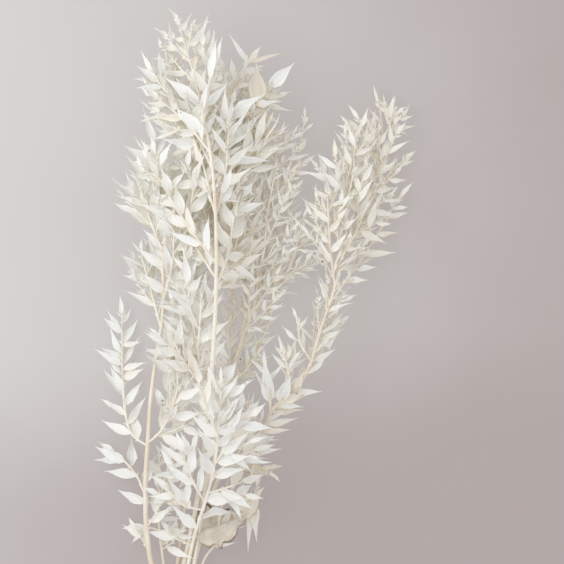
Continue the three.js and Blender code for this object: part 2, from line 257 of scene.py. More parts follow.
# Stage, in metres. The floor lies just below the bunch, and the light bounces often among the leaves.
FLOOR_HALF = 4
FLOOR_PLACE = (0, 0, -0.0003)
KEY_SIZE = 0.8
KEY_PLACE = Vector((-0.95, 0.45, 0.85))
KEY_TARGET = Vector((0, 0.05, 0.05))
KEY_COLOUR = (0.93, 0.97, 1.0)
ROOM_COLOUR = (0.985, 0.99, 1.0, 1)
CAMERA_ASIDE = 0.0354
CAMERA_AHEAD = 0.0624
SENSOR_WIDTH = 36
FACE_BOUNCES = 28
MOST_BOUNCES = 40

# Every route starts at the cut end. A twig's route starts on its parent, at the height "at" along Y.
# A stem's shade tints its leaves and twig wood cream and tan: partly their own less bleached colour, and
# partly painted shade, higher on the back, low and right stems that lie deeper and less lit.
STEMS = [
    {
        "name": "stem_tall_centre", "bush": 0.85, "shade": 0.22, "wood": 0.45, "radius": 3, "leafy": 262,
        "route": [
            [-95, -392, 12], [-98.5, TIE_AT, 14.8], [-83, -276, 17], [-67, -200, 42], [-56, -125, 72],
            [-48, -45, 98], [-42, 60, 112], [-44, 160, 106], [-52, 230, 96], [-70, 310, 82],
            [-90, 376, 70],
        ],
        "twigs": [
            {"at": 140, "leaf": 47, "route": [[-69, 232, 88], [-120, 314, 84]]},
            {"at": 216, "leaf": 47, "route": [[-82, 256, 92], [-112, 280, 94]]},
            {"at": 196, "leaf": 50, "route": [[-78, 262, 70], [-102, 325, 62]]},
            {"at": 84, "leaf": 52, "route": [[-84, 140, 96], [-124, 210, 94]]},
            {"at": 66, "leaf": 52, "route": [[-74, 124, 84], [-66, 196, 96]]},
            {"at": 140, "leaf": 50, "route": [[-32, 190, 90], [-28, 252, 88]]},
            {"at": 56, "leaf": 50, "route": [[-28, 100, 84], [-20, 166, 80]]},
            {"at": 256, "route": [[-50, 310, 84], [-46, 342, 84]]},
            {"at": 172, "leaf": 50, "route": [[-28, 214, 72], [-34, 276, 72]]},
        ],
    },
    {
        "name": "stem_left", "bush": 0.5, "reach": 50, "shade": 0.0, "wood": 0.6, "radius": 3, "leafy": 62,
        "leaf": 46,
        "route": [
            [-109, -388, 13], [-105, TIE_AT, 14.8], [-126, -276, 26], [-131, -200, 40], [-126, -120, 52],
            [-121, -60, 60], [-109, 10, 68], [-107, 50, 70], [-110, 115, 68], [-116, 180, 62],
            [-119, 226, 56],
        ],
        "twigs": [
            {"bush": 0.12, "at": -136, "route": [[-151, -118, 32], [-160, -60, 14], [-161, 24, 10]]},
            {"bush": 0.1, "at": -198, "leaf": 46, "route": [[-146, -168, 18], [-172, -148, 9]]},
            {"at": -132, "route": [[-107, -113, 68], [-89, -65, 86], [-93, -14, 92]]},
            {"at": 40, "route": [[-96, 85, 78], [-92, 148, 80]]},
            {"at": 104, "route": [[-124, 140, 78], [-134, 176, 78]]},
            {"at": 6, "route": [[-122, 50, 56], [-134, 92, 50]]},
        ],
    },
    {
        "name": "stem_back_centre", "bush": 1.0, "shade": 0.36, "wood": 0.75, "radius": 2.5, "leafy": 84,
        "leaf": 31, "slim": 0.23,
        "route": [
            [-96, -386, 6.5], [-95, TIE_AT, 8.8], [-77, -276, 7], [-60, -200, 12], [-46, -150, 16],
            [-36, -90, 19], [-21, -31, 20], [-9, 12, 18], [-11, 60, 16], [-3, 125, 15], [8, 180, 14],
            [12, 222, 12],
        ],
        "twigs": [
            {"at": 18, "route": [[15, 52, 24], [45, 78, 28], [62, 142, 30]]},
            {"at": 45, "route": [[12, 92, 36], [17, 143, 38], [28, 200, 36]]},
            {"at": 36, "route": [[24, 92, 12], [48, 168, 8], [63, 262, 8]]},
            {"at": 100, "route": [[-22, 150, 12], [-34, 204, 10]]},
            {"at": -61, "route": [[-12, -50, 22], [6, -26, 24]]},
            {"at": 130, "route": [[22, 190, 10], [38, 238, 8]]},
            {"at": 62, "route": [[-28, 108, 32], [-34, 158, 34]]},
        ],
    },
    {
        "name": "stem_right", "bush": 0.5, "reach": 42, "shade": 0.35, "wood": 0.6, "radius": 2.5,
        "leafy": -150, "leaf": 38, "slim": 0.25,
        "route": [
            [-90, -390, 7], [-88.5, TIE_AT, 8.8], [-70, -276, 10], [-53, -205, 18], [-33, -163, 28],
            [5, -136, 38], [23, -91, 46], [61, -61, 48], [76, -13, 46], [97, 47, 42], [110, 107, 40],
            [116, 155, 40], [111, 219, 40],
        ],
        "twigs": [
            # The crown's twigs at 85, 50 and 58 have a higher shade, painted shade that tones down their lit
            # leaves.
            {
                "bush": 1.0, "shade": 0.62, "at": 85,
                "route": [[127, 127, 32], [149, 185, 22], [159, 240, 15], [154, 283, 12]],
                "twigs": [
                    {"bush": 1.0, "at": 150, "route": [[165, 194, 14], [188, 214, 10]]},
                ],
            },
            {"shade": 0.45, "at": 50, "route": [[123, 77, 26], [153, 122, 13], [178, 164, 10]]},
            {"at": -34, "route": [[57, -13, 56], [54, 16, 58]]},
            {"at": -96, "route": [[20, -62, 56], [15, -36, 58]]},
            # This twig's tan leaves lie where the bunch is in shade: their darker tone is partly painted
            # shade.
            {"shade": 1.3, "at": -146, "route": [[0, -160, 32], [20, -170, 30]]},
            {"at": -4, "route": [[92, -10, 34], [108, 12, 30]]},
            {"bush": 1.0, "shade": 0.55, "at": 58, "route": [[93, 112, 52], [90, 172, 56]]},
        ],
    },
    {
        "name": "stem_front", "bush": 0.35, "reach": 46, "shade": 0.0, "wood": 0.05, "radius": 2.25,
        "leafy": -225, "leaf": 48, "slim": 0.3,
        "route": [
            [-88, -394, 13], [-91.5, TIE_AT, 14.8], [-78, -276, 21], [-70, -241, 33], [-56, -199, 54],
            [-44, -151, 80], [-40, -110, 96], [-37, -58, 106],
        ],
        "twigs": [
            {"at": -178, "route": [[-28, -152, 80], [2, -138, 82]]},
            {"at": -204, "route": [[-72, -178, 68], [-84, -142, 80]]},
            {"at": -122, "route": [[-54, -86, 108], [-62, -58, 114]]},
            {"at": -156, "route": [[-24, -122, 92], [-14, -90, 98]]},
            {"at": -192, "route": [[-38, -188, 60], [-12, -178, 62]]},
            {"at": -214, "route": [[-84, -208, 58], [-102, -188, 62]]},
        ],
    },
    {
        "name": "stem_front_left", "bush": 0.65, "shade": 0.08, "wood": 0.2, "radius": 2, "leafy": -112,
        "leaf": 44,
        "route": [
            [-82, -384, 14], [-85, TIE_AT, 14.8], [-71, -276, 19], [-60, -200, 34], [-51, -125, 56],
            [-56, -79, 70], [-66, -19, 84], [-73, 30, 90], [-78, 70, 92], [-80, 100, 92],
        ],
        "twigs": [
            {"at": -62, "route": [[-82, -32, 96], [-96, 0, 98]]},
            {"at": -22, "route": [[-62, 12, 98], [-60, 48, 100]]},
        ],
    },
    {
        "name": "stem_back_top", "bush": 0.85, "shade": 0.5, "wood": 0.8, "radius": 2.25, "leafy": 124,
        "leaf": 48, "slim": 0.3,
        "route": [
            [-100, -391, 8.5], [-101.5, TIE_AT, 8.8], [-92, -276, 9], [-81, -200, 18], [-66, -125, 28],
            [-52, -10, 40], [-42, 80, 46], [-29, 145, 50], [-22, 205, 52], [-9, 255, 50], [20, 298, 46],
        ],
        "twigs": [
            {"at": 148, "route": [[-37, 240, 46], [-25, 300, 44], [-5, 328, 44]]},
            {"at": 186, "route": [[0, 222, 60], [16, 248, 60]]},
            {"at": 40, "route": [[-22, 100, 56], [-10, 158, 58]]},
            {"at": 86, "route": [[-60, 150, 52], [-66, 214, 52]]},
            {"at": -20, "route": [[-74, 40, 46], [-88, 112, 46]]},
        ],
    },
    {
        "name": "stem_low_left", "bush": 0.3, "reach": 36, "shade": 0.1, "wood": 0.3, "radius": 1.75,
        "leafy": -262, "leaf": 36,
        "route": [
            [-109, -380, 8], [-107, TIE_AT, 9.2], [-110, -276, 10], [-117, -230, 14], [-111, -187, 24],
            [-99, -157, 38], [-96, -104, 54],
        ],
        "twigs": [
            {"at": -244, "route": [[-126, -238, 10], [-139, -244, 8]]},
            {"at": -212, "route": [[-98, -200, 34], [-86, -184, 42]]},
        ],
    },
    {
        "name": "stem_low_right", "bush": 0.25, "reach": 30, "shade": 0.5, "wood": 0.7, "radius": 1.75,
        "leafy": -262, "leaf": 34,
        "route": [
            [-80, -383, 7], [-82.5, TIE_AT, 8.8], [-60, -276, 12], [-33, -243, 18], [-6, -214, 24],
            [4, -190, 26],
        ],
        "twigs": [
            {"at": -254, "leaf": 40, "route": [[-42, -226, 26], [-34, -198, 30]]},
        ],
    },
]

# Twigs that only the scene has: stem, root, what is its own, and route. Each grows from the wood of its
# stem that is nearest to its root. A twig's seed is its place in the list.
ADDED_TWIGS = [
    ("stem_left", (-127, -264, 28), {"leaf": 30}, [(-137, -250, 22), (-145, -240, 18)]),
    ("stem_left", (-128, -240, 33), {"leaf": 34}, [(-120, -222, 40), (-112, -206, 44)]),
    ("stem_low_left", (-111, -268, 11), {"leaf": 36}, [(-98, -256, 22), (-86, -240, 30)]),
    ("stem_low_left", (-111, -190, 24), {"leaf": 34}, [(-113, -172, 30), (-114, -150, 34)]),
    ("stem_front", (-74, -258, 27), {"leaf": 40}, [(-92, -252, 30), (-104, -240, 34)]),
    ("stem_low_right", (-17, -226, 22), {"leaf": 34}, [(-22, -206, 26), (-24, -190, 30)]),
    ("stem_back_centre", (-36, -90, 19), {"bush": 0.5, "leaf": 34},
     [(-33, -48, 12), (-27, -8, 9), (-23, 30, 9)]),
    ("stem_back_centre", (-26, -50, 20), {"bush": 0.15}, [(0, -30, 8), (16, 2, 7), (24, 34, 7)]),
    ("stem_back_centre", (-20, -26, 20), {"bush": 0.35}, [(0, 0, 11), (24, 34, 9), (34, 62, 9)]),
    ("stem_back_centre", (-35, -86, 19), {"bush": 0.4}, [(-24, -62, 8), (-4, -40, 7), (8, -12, 7)]),
    ("stem_back_centre", (-9, 20, 18), {"bush": 0.7}, [(-26, 52, 9), (-30, 92, 9), (-20, 128, 9)]),
    ("stem_back_centre", (-11, 50, 16), {}, [(16, 78, 14), (34, 116, 12), (40, 160, 10)]),
    ("stem_back_centre", (-8, 84, 16), {}, [(10, 112, 22), (30, 150, 20), (46, 204, 16)]),
    ("stem_back_centre", (-4, 120, 15), {}, [(10, 150, 24), (24, 196, 22), (34, 244, 18)]),
    ("stem_back_centre", (-10, 8, 18), {}, [(8, 30, 14), (34, 54, 12), (56, 96, 10)]),
    ("stem_back_centre", (-15, -8, 19), {}, [(-2, 22, 30), (6, 58, 34), (2, 100, 36)]),
    ("stem_right", (11, -120, 41), {"leaf": 34}, [(2, -104, 44), (-8, -84, 46)]),
    ("stem_right", (42, -76, 47), {"leaf": 34}, [(44, -48, 56), (36, -20, 58)]),
    ("stem_right", (-15, -150, 33), {"leaf": 36}, [(-18, -146, 40), (-22, -128, 46)]),
    ("stem_right", (152, 200, 20), {"leaf": 34}, [(140, 232, 24), (128, 262, 26)]),
    ("stem_right", (158, 238, 15), {"leaf": 30}, [(168, 256, 16), (172, 276, 14)]),
    ("stem_right", (149, 185, 22), {"leaf": 34}, [(162, 214, 26), (176, 244, 24)]),
    ("stem_right", (127, 127, 32), {"leaf": 36}, [(128, 160, 44), (136, 196, 46)]),
    ("stem_right", (116, 155, 40), {"leaf": 36}, [(104, 186, 50), (100, 214, 52)]),
    ("stem_right", (113, 190, 40), {"leaf": 34}, [(122, 214, 46), (126, 238, 44)]),
    ("stem_back_centre", (-30, -70, 19), {"bush": 0.6, "leaf": 34}, [(-22, -38, 13), (-14, 0, 11)]),
    ("stem_back_centre", (-27, -54, 20), {"bush": 0.8, "leaf": 36},
     [(-30, -14, 12), (-31, 22, 10), (-25, 56, 10)]),
]

# Single leaves that stand out: stem, root, tip, width for length, shade, and whether it is burnt. Each
# grows from the wood of its stem that is nearest to its root. A leaf's seed is its place in the list.
SINGLE_LEAVES = [
    ("stem_back_top", (21, 299, 47), (50, 327, 66), 0.36, 0.0),
    ("stem_back_top", (-9, 236, 52), (38, 246, 60), 0.34, 1.5),
    ("stem_back_top", (4, 284, 50), (3, 328, 60), 0.5, 1.6),
    ("stem_back_top", (-6, 328, 46), (-31, 362, 60), 0.14, 0.3),
    ("stem_back_top", (10, 286, 52), (38, 287, 44), 0.42, 1.7),
    ("stem_right", (23, -84, 48), (14, -26, 72), 0.26, 0.0),
    ("stem_right", (32, -78, 48), (46, -46, 70), 0.36, 0.0),
    ("stem_right", (4, -138, 38), (24, -122, 66), 0.6, 0.0),
    ("stem_tall_centre", (-75, 272, 92), (-105, 307, 100), 0.3, 0.1),
    ("stem_tall_centre", (-57, 236, 98), (-91, 270, 108), 0.32, 0.2),
    ("stem_tall_centre", (-28, 300, 88), (-45, 352, 96), 0.22, 0.2),
    ("stem_tall_centre", (-36, 306, 86), (-36, 356, 92), 0.2, 0.3),
    ("stem_tall_centre", (-84, 222, 94), (-106, 229, 104), 0.4, 0.0),
    ("stem_tall_centre", (-114, 300, 90), (-138, 321, 92), 0.32, 0.0),
    ("stem_tall_centre", (-108, 296, 90), (-139, 294, 92), 0.34, 0.0),
    ("stem_left", (-120, 222, 58), (-130, 274, 66), 0.2, 0.0),
    ("stem_left", (-118, 206, 60), (-158, 225, 70), 0.3, 0.0),
    ("stem_left", (-108, 160, 66), (-148, 191, 74), 0.32, 0.05),
    ("stem_left", (-100, 140, 70), (-134, 157, 84), 0.34, 0.05),
    ("stem_left", (-80, 114, 82), (-112, 142, 94), 0.34, 0.1),
    ("stem_left", (-110, 100, 70), (-132, 126, 78), 0.3, 0.0),
    ("stem_left", (-112, 82, 70), (-140, 103, 76), 0.34, 0.0),
    ("stem_left", (-110, 50, 70), (-133, 73, 80), 0.38, 0.0),
    ("stem_back_top", (2, 262, 50), (34, 256, 56), 0.4, 1.6),
    ("stem_back_top", (10, 332, 44), (38, 343, 48), 0.14, 1.7),
    ("stem_front", (-41, -104, 96), (-12, -70, 106), 0.32, 0.0),
    ("stem_front", (-41, -118, 94), (0, -100, 100), 0.36, 0.0),
    ("stem_front", (-45, -152, 80), (0, -143, 96), 0.34, 0.0),
    ("stem_front", (-50, -172, 70), (-6, -160, 84), 0.3, 0.1),
    ("stem_front", (-57, -200, 54), (-8, -196, 70), 0.34, 0.0),
    ("stem_front", (-40, -96, 98), (-64, -58, 112), 0.3, 0.0),
    ("stem_front", (-43, -124, 92), (-74, -92, 104), 0.3, 0.1),
    ("stem_front", (-66, -236, 36), (-100, -204, 58), 0.32, 0.0),
    ("stem_front_left", (-71, 22, 89), (-114, 36, 98), 0.34, 0.1),
    ("stem_front_left", (-72, 33, 90), (-106, 58, 104), 0.32, 0.0),
    ("stem_front_left", (-69, 20, 89), (-43, 38, 100), 0.36, 0.1),
    ("stem_front_left", (-66, -10, 86), (-48, 18, 102), 0.38, 0.0),
    ("stem_front_left", (-66, -24, 84), (-108, -14, 90), 0.3, 0.1),
    ("stem_front_left", (-75, 48, 91), (-58, 70, 104), 0.36, 0.0),
    ("stem_front_left", (-76, 58, 92), (-80, 103, 100), 0.26, 0.1),
    ("stem_left", (-130, -206, 40), (-168, -192, 30), 0.3, 0.3),
    ("stem_left", (-161, 0, 11), (-184, 20, 14), 0.34, 0.1),
    ("stem_left", (-161, -32, 12), (-187, -16, 18), 0.34, 0.0),
    ("stem_left", (-160, -72, 14), (-174, -40, 22), 0.34, 0.1),
    ("stem_left", (-156, -92, 16), (-136, -56, 26), 0.3, 0.1),
    ("stem_right", (123, 77, 27), (153, 82, 20), 0.3, 0.3),
    ("stem_right", (135, 95, 22), (177, 101, 16), 0.24, 0.8),
    ("stem_right", (112, 64, 35), (142, 66, 28), 0.3, 0.6),
    ("stem_right", (178, 164, 10), (197, 187, 18), 0.22, 0.6),
    ("stem_right", (172, 152, 11), (192, 156, 10), 0.3, 0.5),
    ("stem_low_right", (0, -206, 25), (-8, -274, 8), 0.14, 0.7),
    ("stem_low_right", (2, -202, 25), (3, -262, 10), 0.18, 0.5),
    ("stem_front", (-71, -246, 31), (2, -218, 26), 0.7, 1.5, True),
    ("stem_right", (28, -91, 47), (69, -74, 42), 0.26, 1.2),
    ("stem_right", (36, -84, 47), (68, -68, 54), 0.3, 0.9),
    ("stem_right", (23, -98, 46), (64, -93, 36), 0.22, 1.4),
    ("stem_right", (20, -112, 44), (58, -104, 34), 0.22, 0.9),
    ("stem_right", (11, -120, 41), (47, -116, 34), 0.24, 1.1),
    ("stem_right", (50, -70, 48), (62, -44, 58), 0.34, 1.1),
    ("stem_right", (40, -78, 48), (40, -50, 62), 0.32, 1.0),
    # The next two large tan leaves lie where the bunch is in shade at the lower right: their darker tone is
    # partly painted shade.
    ("stem_right", (-15, -150, 33), (20, -177, 20), 0.5, 1.5),
    ("stem_low_right", (-22, -227, 21), (14, -186, 26), 0.46, 1.4),
    ("stem_left", (-153, -153, 12), (-195, -139, 14), 0.34, 0.0),
    ("stem_left", (-161, -38, 12), (-194, -18, 20), 0.3, 0.2),
    ("stem_left", (-160, -16, 12), (-136, -12, 20), 0.28, 0.5),
    ("stem_left", (-160, -44, 12), (-130, -34, 22), 0.26, 0.4),
    ("stem_left", (-159, -58, 12), (-134, -42, 24), 0.34, 0.7),
]


def draws(seed, count):
    """Seeded draws between 0 and 1, from a plain multiplicative generator."""
    state = (seed * SEED_STRIDE + SEED_START) % MODULUS
    drawn = []
    for _ in range(count + UNUSED_DRAWS):
        state = state * MULTIPLIER % MODULUS
        drawn.append(state / MODULUS)
    return drawn[UNUSED_DRAWS:]


def curve_point(knots, share):
    """A point of the smooth curve through the knots, at a share of its spans."""
    spans = len(knots) - 1
    first = min(int(spans * share), spans - 1)
    part = spans * share - first
    start, end = knots[first], knots[first + 1]
    before = knots[first - 1] if first > 0 else 2 * knots[0] - knots[1]
    after = knots[first + 2] if first + 2 <= spans else 2 * knots[-1] - knots[-2]
    leaving, arriving = (end - before) / 2, (after - start) / 2
    square = 3 * (end - start) - 2 * leaving - arriving
    cube = 2 * (start - end) + leaving + arriving
    return start + part * (leaving + part * (square + part * cube))


class Axis:
    """A row of straight lengths along a smooth route, as a twig has from leaf to leaf."""

    def __init__(self, route, step, number):
        knots = [Vector(point) for point in route]
        fine = [curve_point(knots, i / ROUTE_SAMPLES) for i in range(ROUTE_SAMPLES + 1)]
        whole = sum((end - start).length for start, end in zip(fine, fine[1:]))
        steps = max(2, math.floor(whole / step + 0.5))
        self.points = [curve_point(knots, i / steps) for i in range(steps + 1)]
        self.distances = [0.0]
        for start, end in zip(self.points, self.points[1:]):
            self.distances.append(self.distances[-1] + (end - start).length)
        self.length = self.distances[-1]
        self.number = number
        self.rank = (draws(number + RANK_SEED, 1)[0] - 0.5) * RANK_RANGE
        self.leaves = []
        self.bracts = []
        self.sides = []

    def inherit(self, spec, parent):
        """Takes its leaves' length, form and shade, and how bushy it is, from its own spec or its parent."""
        for key, value in USUAL.items():
            setattr(self, key, spec.get(key, getattr(parent, key) if parent else value))

    def place(self, distance):
        """The point at a distance from the start, and the directions along, aside and up there."""
        last = len(self.points) - 1
        span = 1
        while span < last and self.distances[span] < distance:
            span += 1
        start, end = self.points[span - 1], self.points[span]
        share = (distance - self.distances[span - 1]) / (self.distances[span] - self.distances[span - 1])
        along = (end - start).normalized()
        side = along.cross(UP).normalized()
        return start.lerp(end, share), along, side, side.cross(along)

    def eased(self, distance):
        """As place, with the corner between two straight lengths rounded off."""
        reach = min(CORNER_REACH, max(distance, 0), max(self.length - distance, 0))
        near = [self.place(distance + reach * shift) for shift in (-1, -0.5, 0, 0.5, 1)]
        point = sum((place[0] for place in near), Vector()) / len(near)
        along = sum((place[1] for place in near), Vector()).normalized()
        side = along.cross(UP).normalized()
        return point, along, side, side.cross(along)

    def nearest(self, target):
        """How far along the axis comes closest to a point, and how close."""
        tries = [self.length * i / SEARCH_SAMPLES for i in range(SEARCH_SAMPLES + 1)]
        return min(((self.place(distance)[0] - target).length, distance) for distance in tries)

    def distance_at_height(self, height):
        """How far along the axis its height along Y is reached."""
        above = next(i for i, point in enumerate(self.points) if point.y >= height)
        start, end = self.points[above - 1], self.points[above]
        share = (height - start.y) / (end.y - start.y)
        return self.distances[above - 1] + share * (self.distances[above] - self.distances[above - 1])


def outline(share):
    """Half the width of a leaf at a share of its length, as a share of the widest, which is at one third."""
    return 27 / 4 * share * (1 - share) ** 2


class Leaf:
    """How one leaf grows: its root, where it points, which way its face looks and how it bends."""

    def __init__(self, axis, distance, number, share, way):
        seed = axis.number * MOST_LEAVES + number
        size, slim, spread, lean, roll, curl, twist, sweep = draws(seed, 8)
        point, along, side, up = axis.place(distance)
        freedom = min(1, max(LEAST_FREEDOM, point.z / FREE_HEIGHT))
        grown = axis.leaf * (LEAST_SIZE + SIZE_RANGE * size) * (1 - TIP_LEAF_LOSS * share * share)
        turned = way * (WAY_TURN if way % 2 else -WAY_TURN)
        self.root = point
        self.length = grown * (1 - WAY_LEAF_LOSS * way)
        wander = axis.rank + (lean - 0.5) * LEAN_RANGE + turned
        rank = (number % 2) * math.pi + wander * freedom
        outward = side * math.cos(rank) + up * math.sin(rank)
        spreading = LEAF_OPENING + (spread - 0.5) * OPENING_RANGE - WAY_OPENING_LOSS * way
        opening = LAST_LEAF_OPENING if share == 1 else spreading
        pointing = along * math.cos(opening) + outward * math.sin(opening)
        pointing.z = max(pointing.z - LEAF_SAG, -point.z / self.length)
        self.pointing = pointing.normalized()
        level = self.pointing.cross(UP).normalized()
        rolled = ((roll - 0.5) * ROLL_RANGE + turned / 2) * min(1, point.z / ROLL_HEIGHT)
        self.across = level * math.cos(rolled) + level.cross(self.pointing) * math.sin(rolled)
        self.facing = self.across.cross(self.pointing)
        self.half_width = self.length / 2 * axis.slim * (LEAST_WIDTH + WIDTH_RANGE * slim)
        self.fold = LEAST_FOLD + FOLD_RANGE * slim
        self.curl = (curl - CURL_DOWN_SHARE) * CURL_RANGE
        self.twist = (twist - 0.5) * TWIST_RANGE
        self.sweep = (sweep - 0.5) * SWEEP_RANGE
        self.at = distance
        self.draw_finish(seed + FINISH_SEED, axis.shade)

    def draw_finish(self, seed, shade):
        """What the solids leave out: waved margins, a hooked tip and the colour of each leaf."""
        wave, phase, lag, hook, tone, self.seed, self.blemish = draws(seed, 7)
        self.wave = LEAST_WAVE + WAVE_RANGE * wave
        self.ruffle = RUFFLE
        self.ripples = 1
        self.pleat = LEAST_PLEAT + PLEAT_RANGE * lag
        self.phase = phase * 2 * math.pi
        self.lag = LEAST_LAG + LAG_RANGE * lag
        self.hook = (hook - 0.5) * HOOK_RANGE
        # The tone is mostly the stem's shade, which is partly painted shade, with the leaf's own random tone
        # and a few odd darker leaves.
        self.tone = STEM_TONE * shade + OWN_TONE * tone + (ODD_TONE if tone > ODD_FROM else 0)

    def sheet(self, across, share):
        """A point of the leaf's middle sheet and the direction that its upper face looks in there."""
        bend = self.curl * share
        reach = self.length * share
        point = self.root + self.pointing * (reach * (1 - bend * bend / 6))
        point += self.facing * (reach * bend / 2)
        point += self.across * (self.sweep * self.length * share * share)
        normal = self.facing * math.cos(bend) - self.pointing * math.sin(bend)
        turn = self.twist * share
        flat = self.across * math.cos(turn) + normal * math.sin(turn)
        raised = normal * math.cos(turn) - self.across * math.sin(turn)
        width = self.half_width * outline(share)
        point += flat * (across * width * math.cos(self.fold))
        point += raised * (abs(across) * width * math.sin(self.fold))
        return point, raised

    def tip(self):
        """The tip as the solid has it."""
        point, _ = self.sheet(0, 1)
        point.z = max(point.z, 0)
        return point

    def skin(self, across, share, side, thickness):
        """A point of the finished leaf: the sheet with its margin waved and its tip hooked."""
        lag = self.lag if across > 0 else 0
        run = self.ripples * (share + WANDER * math.sin(WANDER_TURNS * share + 2 * self.phase))
        ruffled = across * (1 + self.ruffle * math.sin(RUFFLE_TURNS * run + self.phase - lag))
        point, raised = self.sheet(ruffled, share)
        width = self.half_width * outline(share)
        waved = self.wave * width * abs(across) ** WAVE_POWER
        point += raised * (waved * math.sin(WAVE_TURNS * run + self.phase + lag))
        point -= raised * (self.pleat * width * 4 * abs(across) * (1 - abs(across)))
        point += raised * (self.hook * self.length * max(0, share - HOOK_FROM) ** 2)
        point += raised * (side * thickness / 2)
        point.z = max(point.z, FLOOR_GAP + side * thickness / 2)
        return Vector(min(max(value, low), high) for low, value, high in zip(LEAST, point, MOST))


class SingleLeaf(Leaf):
    """A leaf from a given place on its twig to a given tip."""

    def __init__(self, axis, distance, number, tip, slim, tone, burnt=False):
        super().__init__(axis, distance, number, 0.5, 0)
        self.root = axis.eased(distance)[0]
        reach = Vector(tip) - self.root
        self.length = reach.length
        self.pointing = reach.normalized()
        level = self.pointing.cross(UP).normalized()
        roll = (draws(SINGLE_SEED + number, 1)[0] - 0.5) * SINGLE_ROLL_RANGE
        self.across = level * math.cos(roll) + level.cross(self.pointing) * math.sin(roll)
        self.facing = self.across.cross(self.pointing)
        self.half_width = self.length / 2 * slim
        self.curl *= SINGLE_CURL
        self.twist *= SINGLE_TWIST
        self.sweep *= SINGLE_SWEEP
        self.tone = tone
        if burnt:
            for key, value in BURNT_FORM.items():
                setattr(self, key, value)


def tips_of(node):
    """A search tree over the vertices of a node's solid, in millimetres."""
    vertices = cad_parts[node].data.vertices
    tree = KDTree(len(vertices))
    for vertex in vertices:
        tree.insert(vertex.co / MM, vertex.index)
    tree.balance()
    return tree


def grow_axes(spec, parent, count):
    """The stem's own axis and, after it, those of its twigs, numbered as in the solids."""
    start = [parent.place(parent.distance_at_height(spec["at"]))[0]] if parent else []
    axis = Axis([*start, *spec["route"]], TWIG_STEP if parent else STEM_STEP, count)
    axis.inherit(spec, parent)
    axis.bare = FIRST_LEAF if parent else axis.distance_at_height(spec["leafy"])
    axis.radius = TWIG_ROOT_RADIUS if parent else spec["radius"]
    axis.is_stem = parent is None
    grown = [axis]
    for twig in spec.get("twigs", []):
        grown += grow_axes(twig, axis, count + len(grown))
    return grown


def grow_leaves(axis, solid=None):
    """Sets a twig's leaves: those of its solid, each turned the way that the solid has it, or all."""
    count = max(2, math.floor((axis.length - axis.bare) / LEAF_PITCH + 0.5))
    for number in range(count + 1):
        share = number / count
        distance = axis.bare + (axis.length - axis.bare - LAST_LEAF_INSET) * share
        for way in range(WAYS_TO_TURN):
            leaf = Leaf(axis, distance, number, share, way)
            if solid is None or solid.find(leaf.tip())[2] < TIP_MATCH:
                leaf.root = axis.eased(distance)[0]
                axis.leaves.append(leaf)
                break


def is_inside(point, margin):
    """Whether a point in millimetres is inside the solids' box by a margin."""
    return all(low + margin < value < high - margin for low, value, high in zip(LEAST, point, MOST))


def grow_bracts(axis):
    """Scale leaves at every node of a twig and in a tuft at its tip."""
    nodes = [(leaf.at, LEAST_BRACT) for leaf in axis.leaves]
    tuft = [(axis.length - TUFT_PITCH * i - LAST_LEAF_INSET, TUFT_BRACT) for i in range(TUFT)]
    for number, (distance, least) in enumerate(nodes + tuft):
        bract = Leaf(axis, distance, MOST_LEAVES - 1 - number % BRACT_DRAWS, 0, 0)
        bract.root = axis.eased(distance)[0]
        bract.length = least + BRACT_RANGE * bract.seed
        bract.half_width = bract.length / 2 * BRACT_SLIMNESS
        bract.tone = min(1, bract.tone + BRACT_TONE)
        if is_inside(bract.tip(), BOX_MARGIN):
            axis.bracts.append(bract)


def grow_sides(axis):
    """Short leafy side twigs from the nodes of a twig, which give the bunch its dense middle."""
    nodes = [leaf for leaf in axis.leaves if leaf.at < axis.length - SIDE_ROOM]
    for number, leaf in enumerate(nodes, axis.number * MOST_LEAVES):
        chance, size, turn, lift, spread = draws(number + SIDE_SEED, 5)
        if chance > axis.bush:
            continue
        point, along, side, up = axis.eased(leaf.at)
        left = axis.length - leaf.at
        length = min(axis.reach, LEAST_SIDE + left * (LEAST_SIDE_SHARE + SIDE_SHARE_RANGE * size))
        around = axis.rank + (number % 2) * math.pi + (turn - 0.5) * SIDE_TURN_RANGE
        drop = LEAST_SIDE_DROP + SIDE_DROP_RANGE * lift
        outward = side * math.cos(around) - up * abs(math.sin(around)) * drop
        opening = SIDE_OPENING + (spread - 0.5) * SIDE_OPENING_RANGE
        heading = (along * math.cos(opening) + outward.normalized() * math.sin(opening)).normalized()
        if point.z + heading.z * length < SIDE_LEAST_HEIGHT:
            heading.z = max(heading.z, (SIDE_LEAST_HEIGHT - point.z) / length)
        middle = point + heading * (length * 0.5)
        turned = heading * (1 - SIDE_TURN_BACK) + along * SIDE_TURN_BACK
        end = middle + turned.normalized() * (length * 0.5)
        if not is_inside(end, SIDE_BOX_MARGIN):
            continue
        twig = Axis([point, middle, end], SIDE_STEP, number + SIDE_NUMBER)
        twig.inherit({"leaf": axis.leaf * SIDE_LEAF}, axis)
        twig.radius = SIDE_ROOT_RADIUS
        axis.sides.append(twig)
        steps = max(2, round((twig.length - SIDE_FIRST_LEAF) / (axis.leaf * SIDE_PITCH)))
        for i in range(steps + 1):
            share = i / steps
            distance = SIDE_FIRST_LEAF + (twig.length - SIDE_FIRST_LEAF - SIDE_LEAF_INSET) * share
            small = Leaf(twig, distance, i, share, 0)
            small.root = twig.eased(distance)[0]
            if is_inside(small.tip(), BOX_MARGIN) or small.tip().z < BOX_MARGIN:
                twig.leaves.append(small)
        grow_bracts(twig)


def nearest_wood(axes, target):
    """How close a stem's wood comes to a point, how far along which of its axes."""
    near = [(*axis.nearest(Vector(target)), axis) for axis in axes]
    return min(near, key=lambda found: found[0])


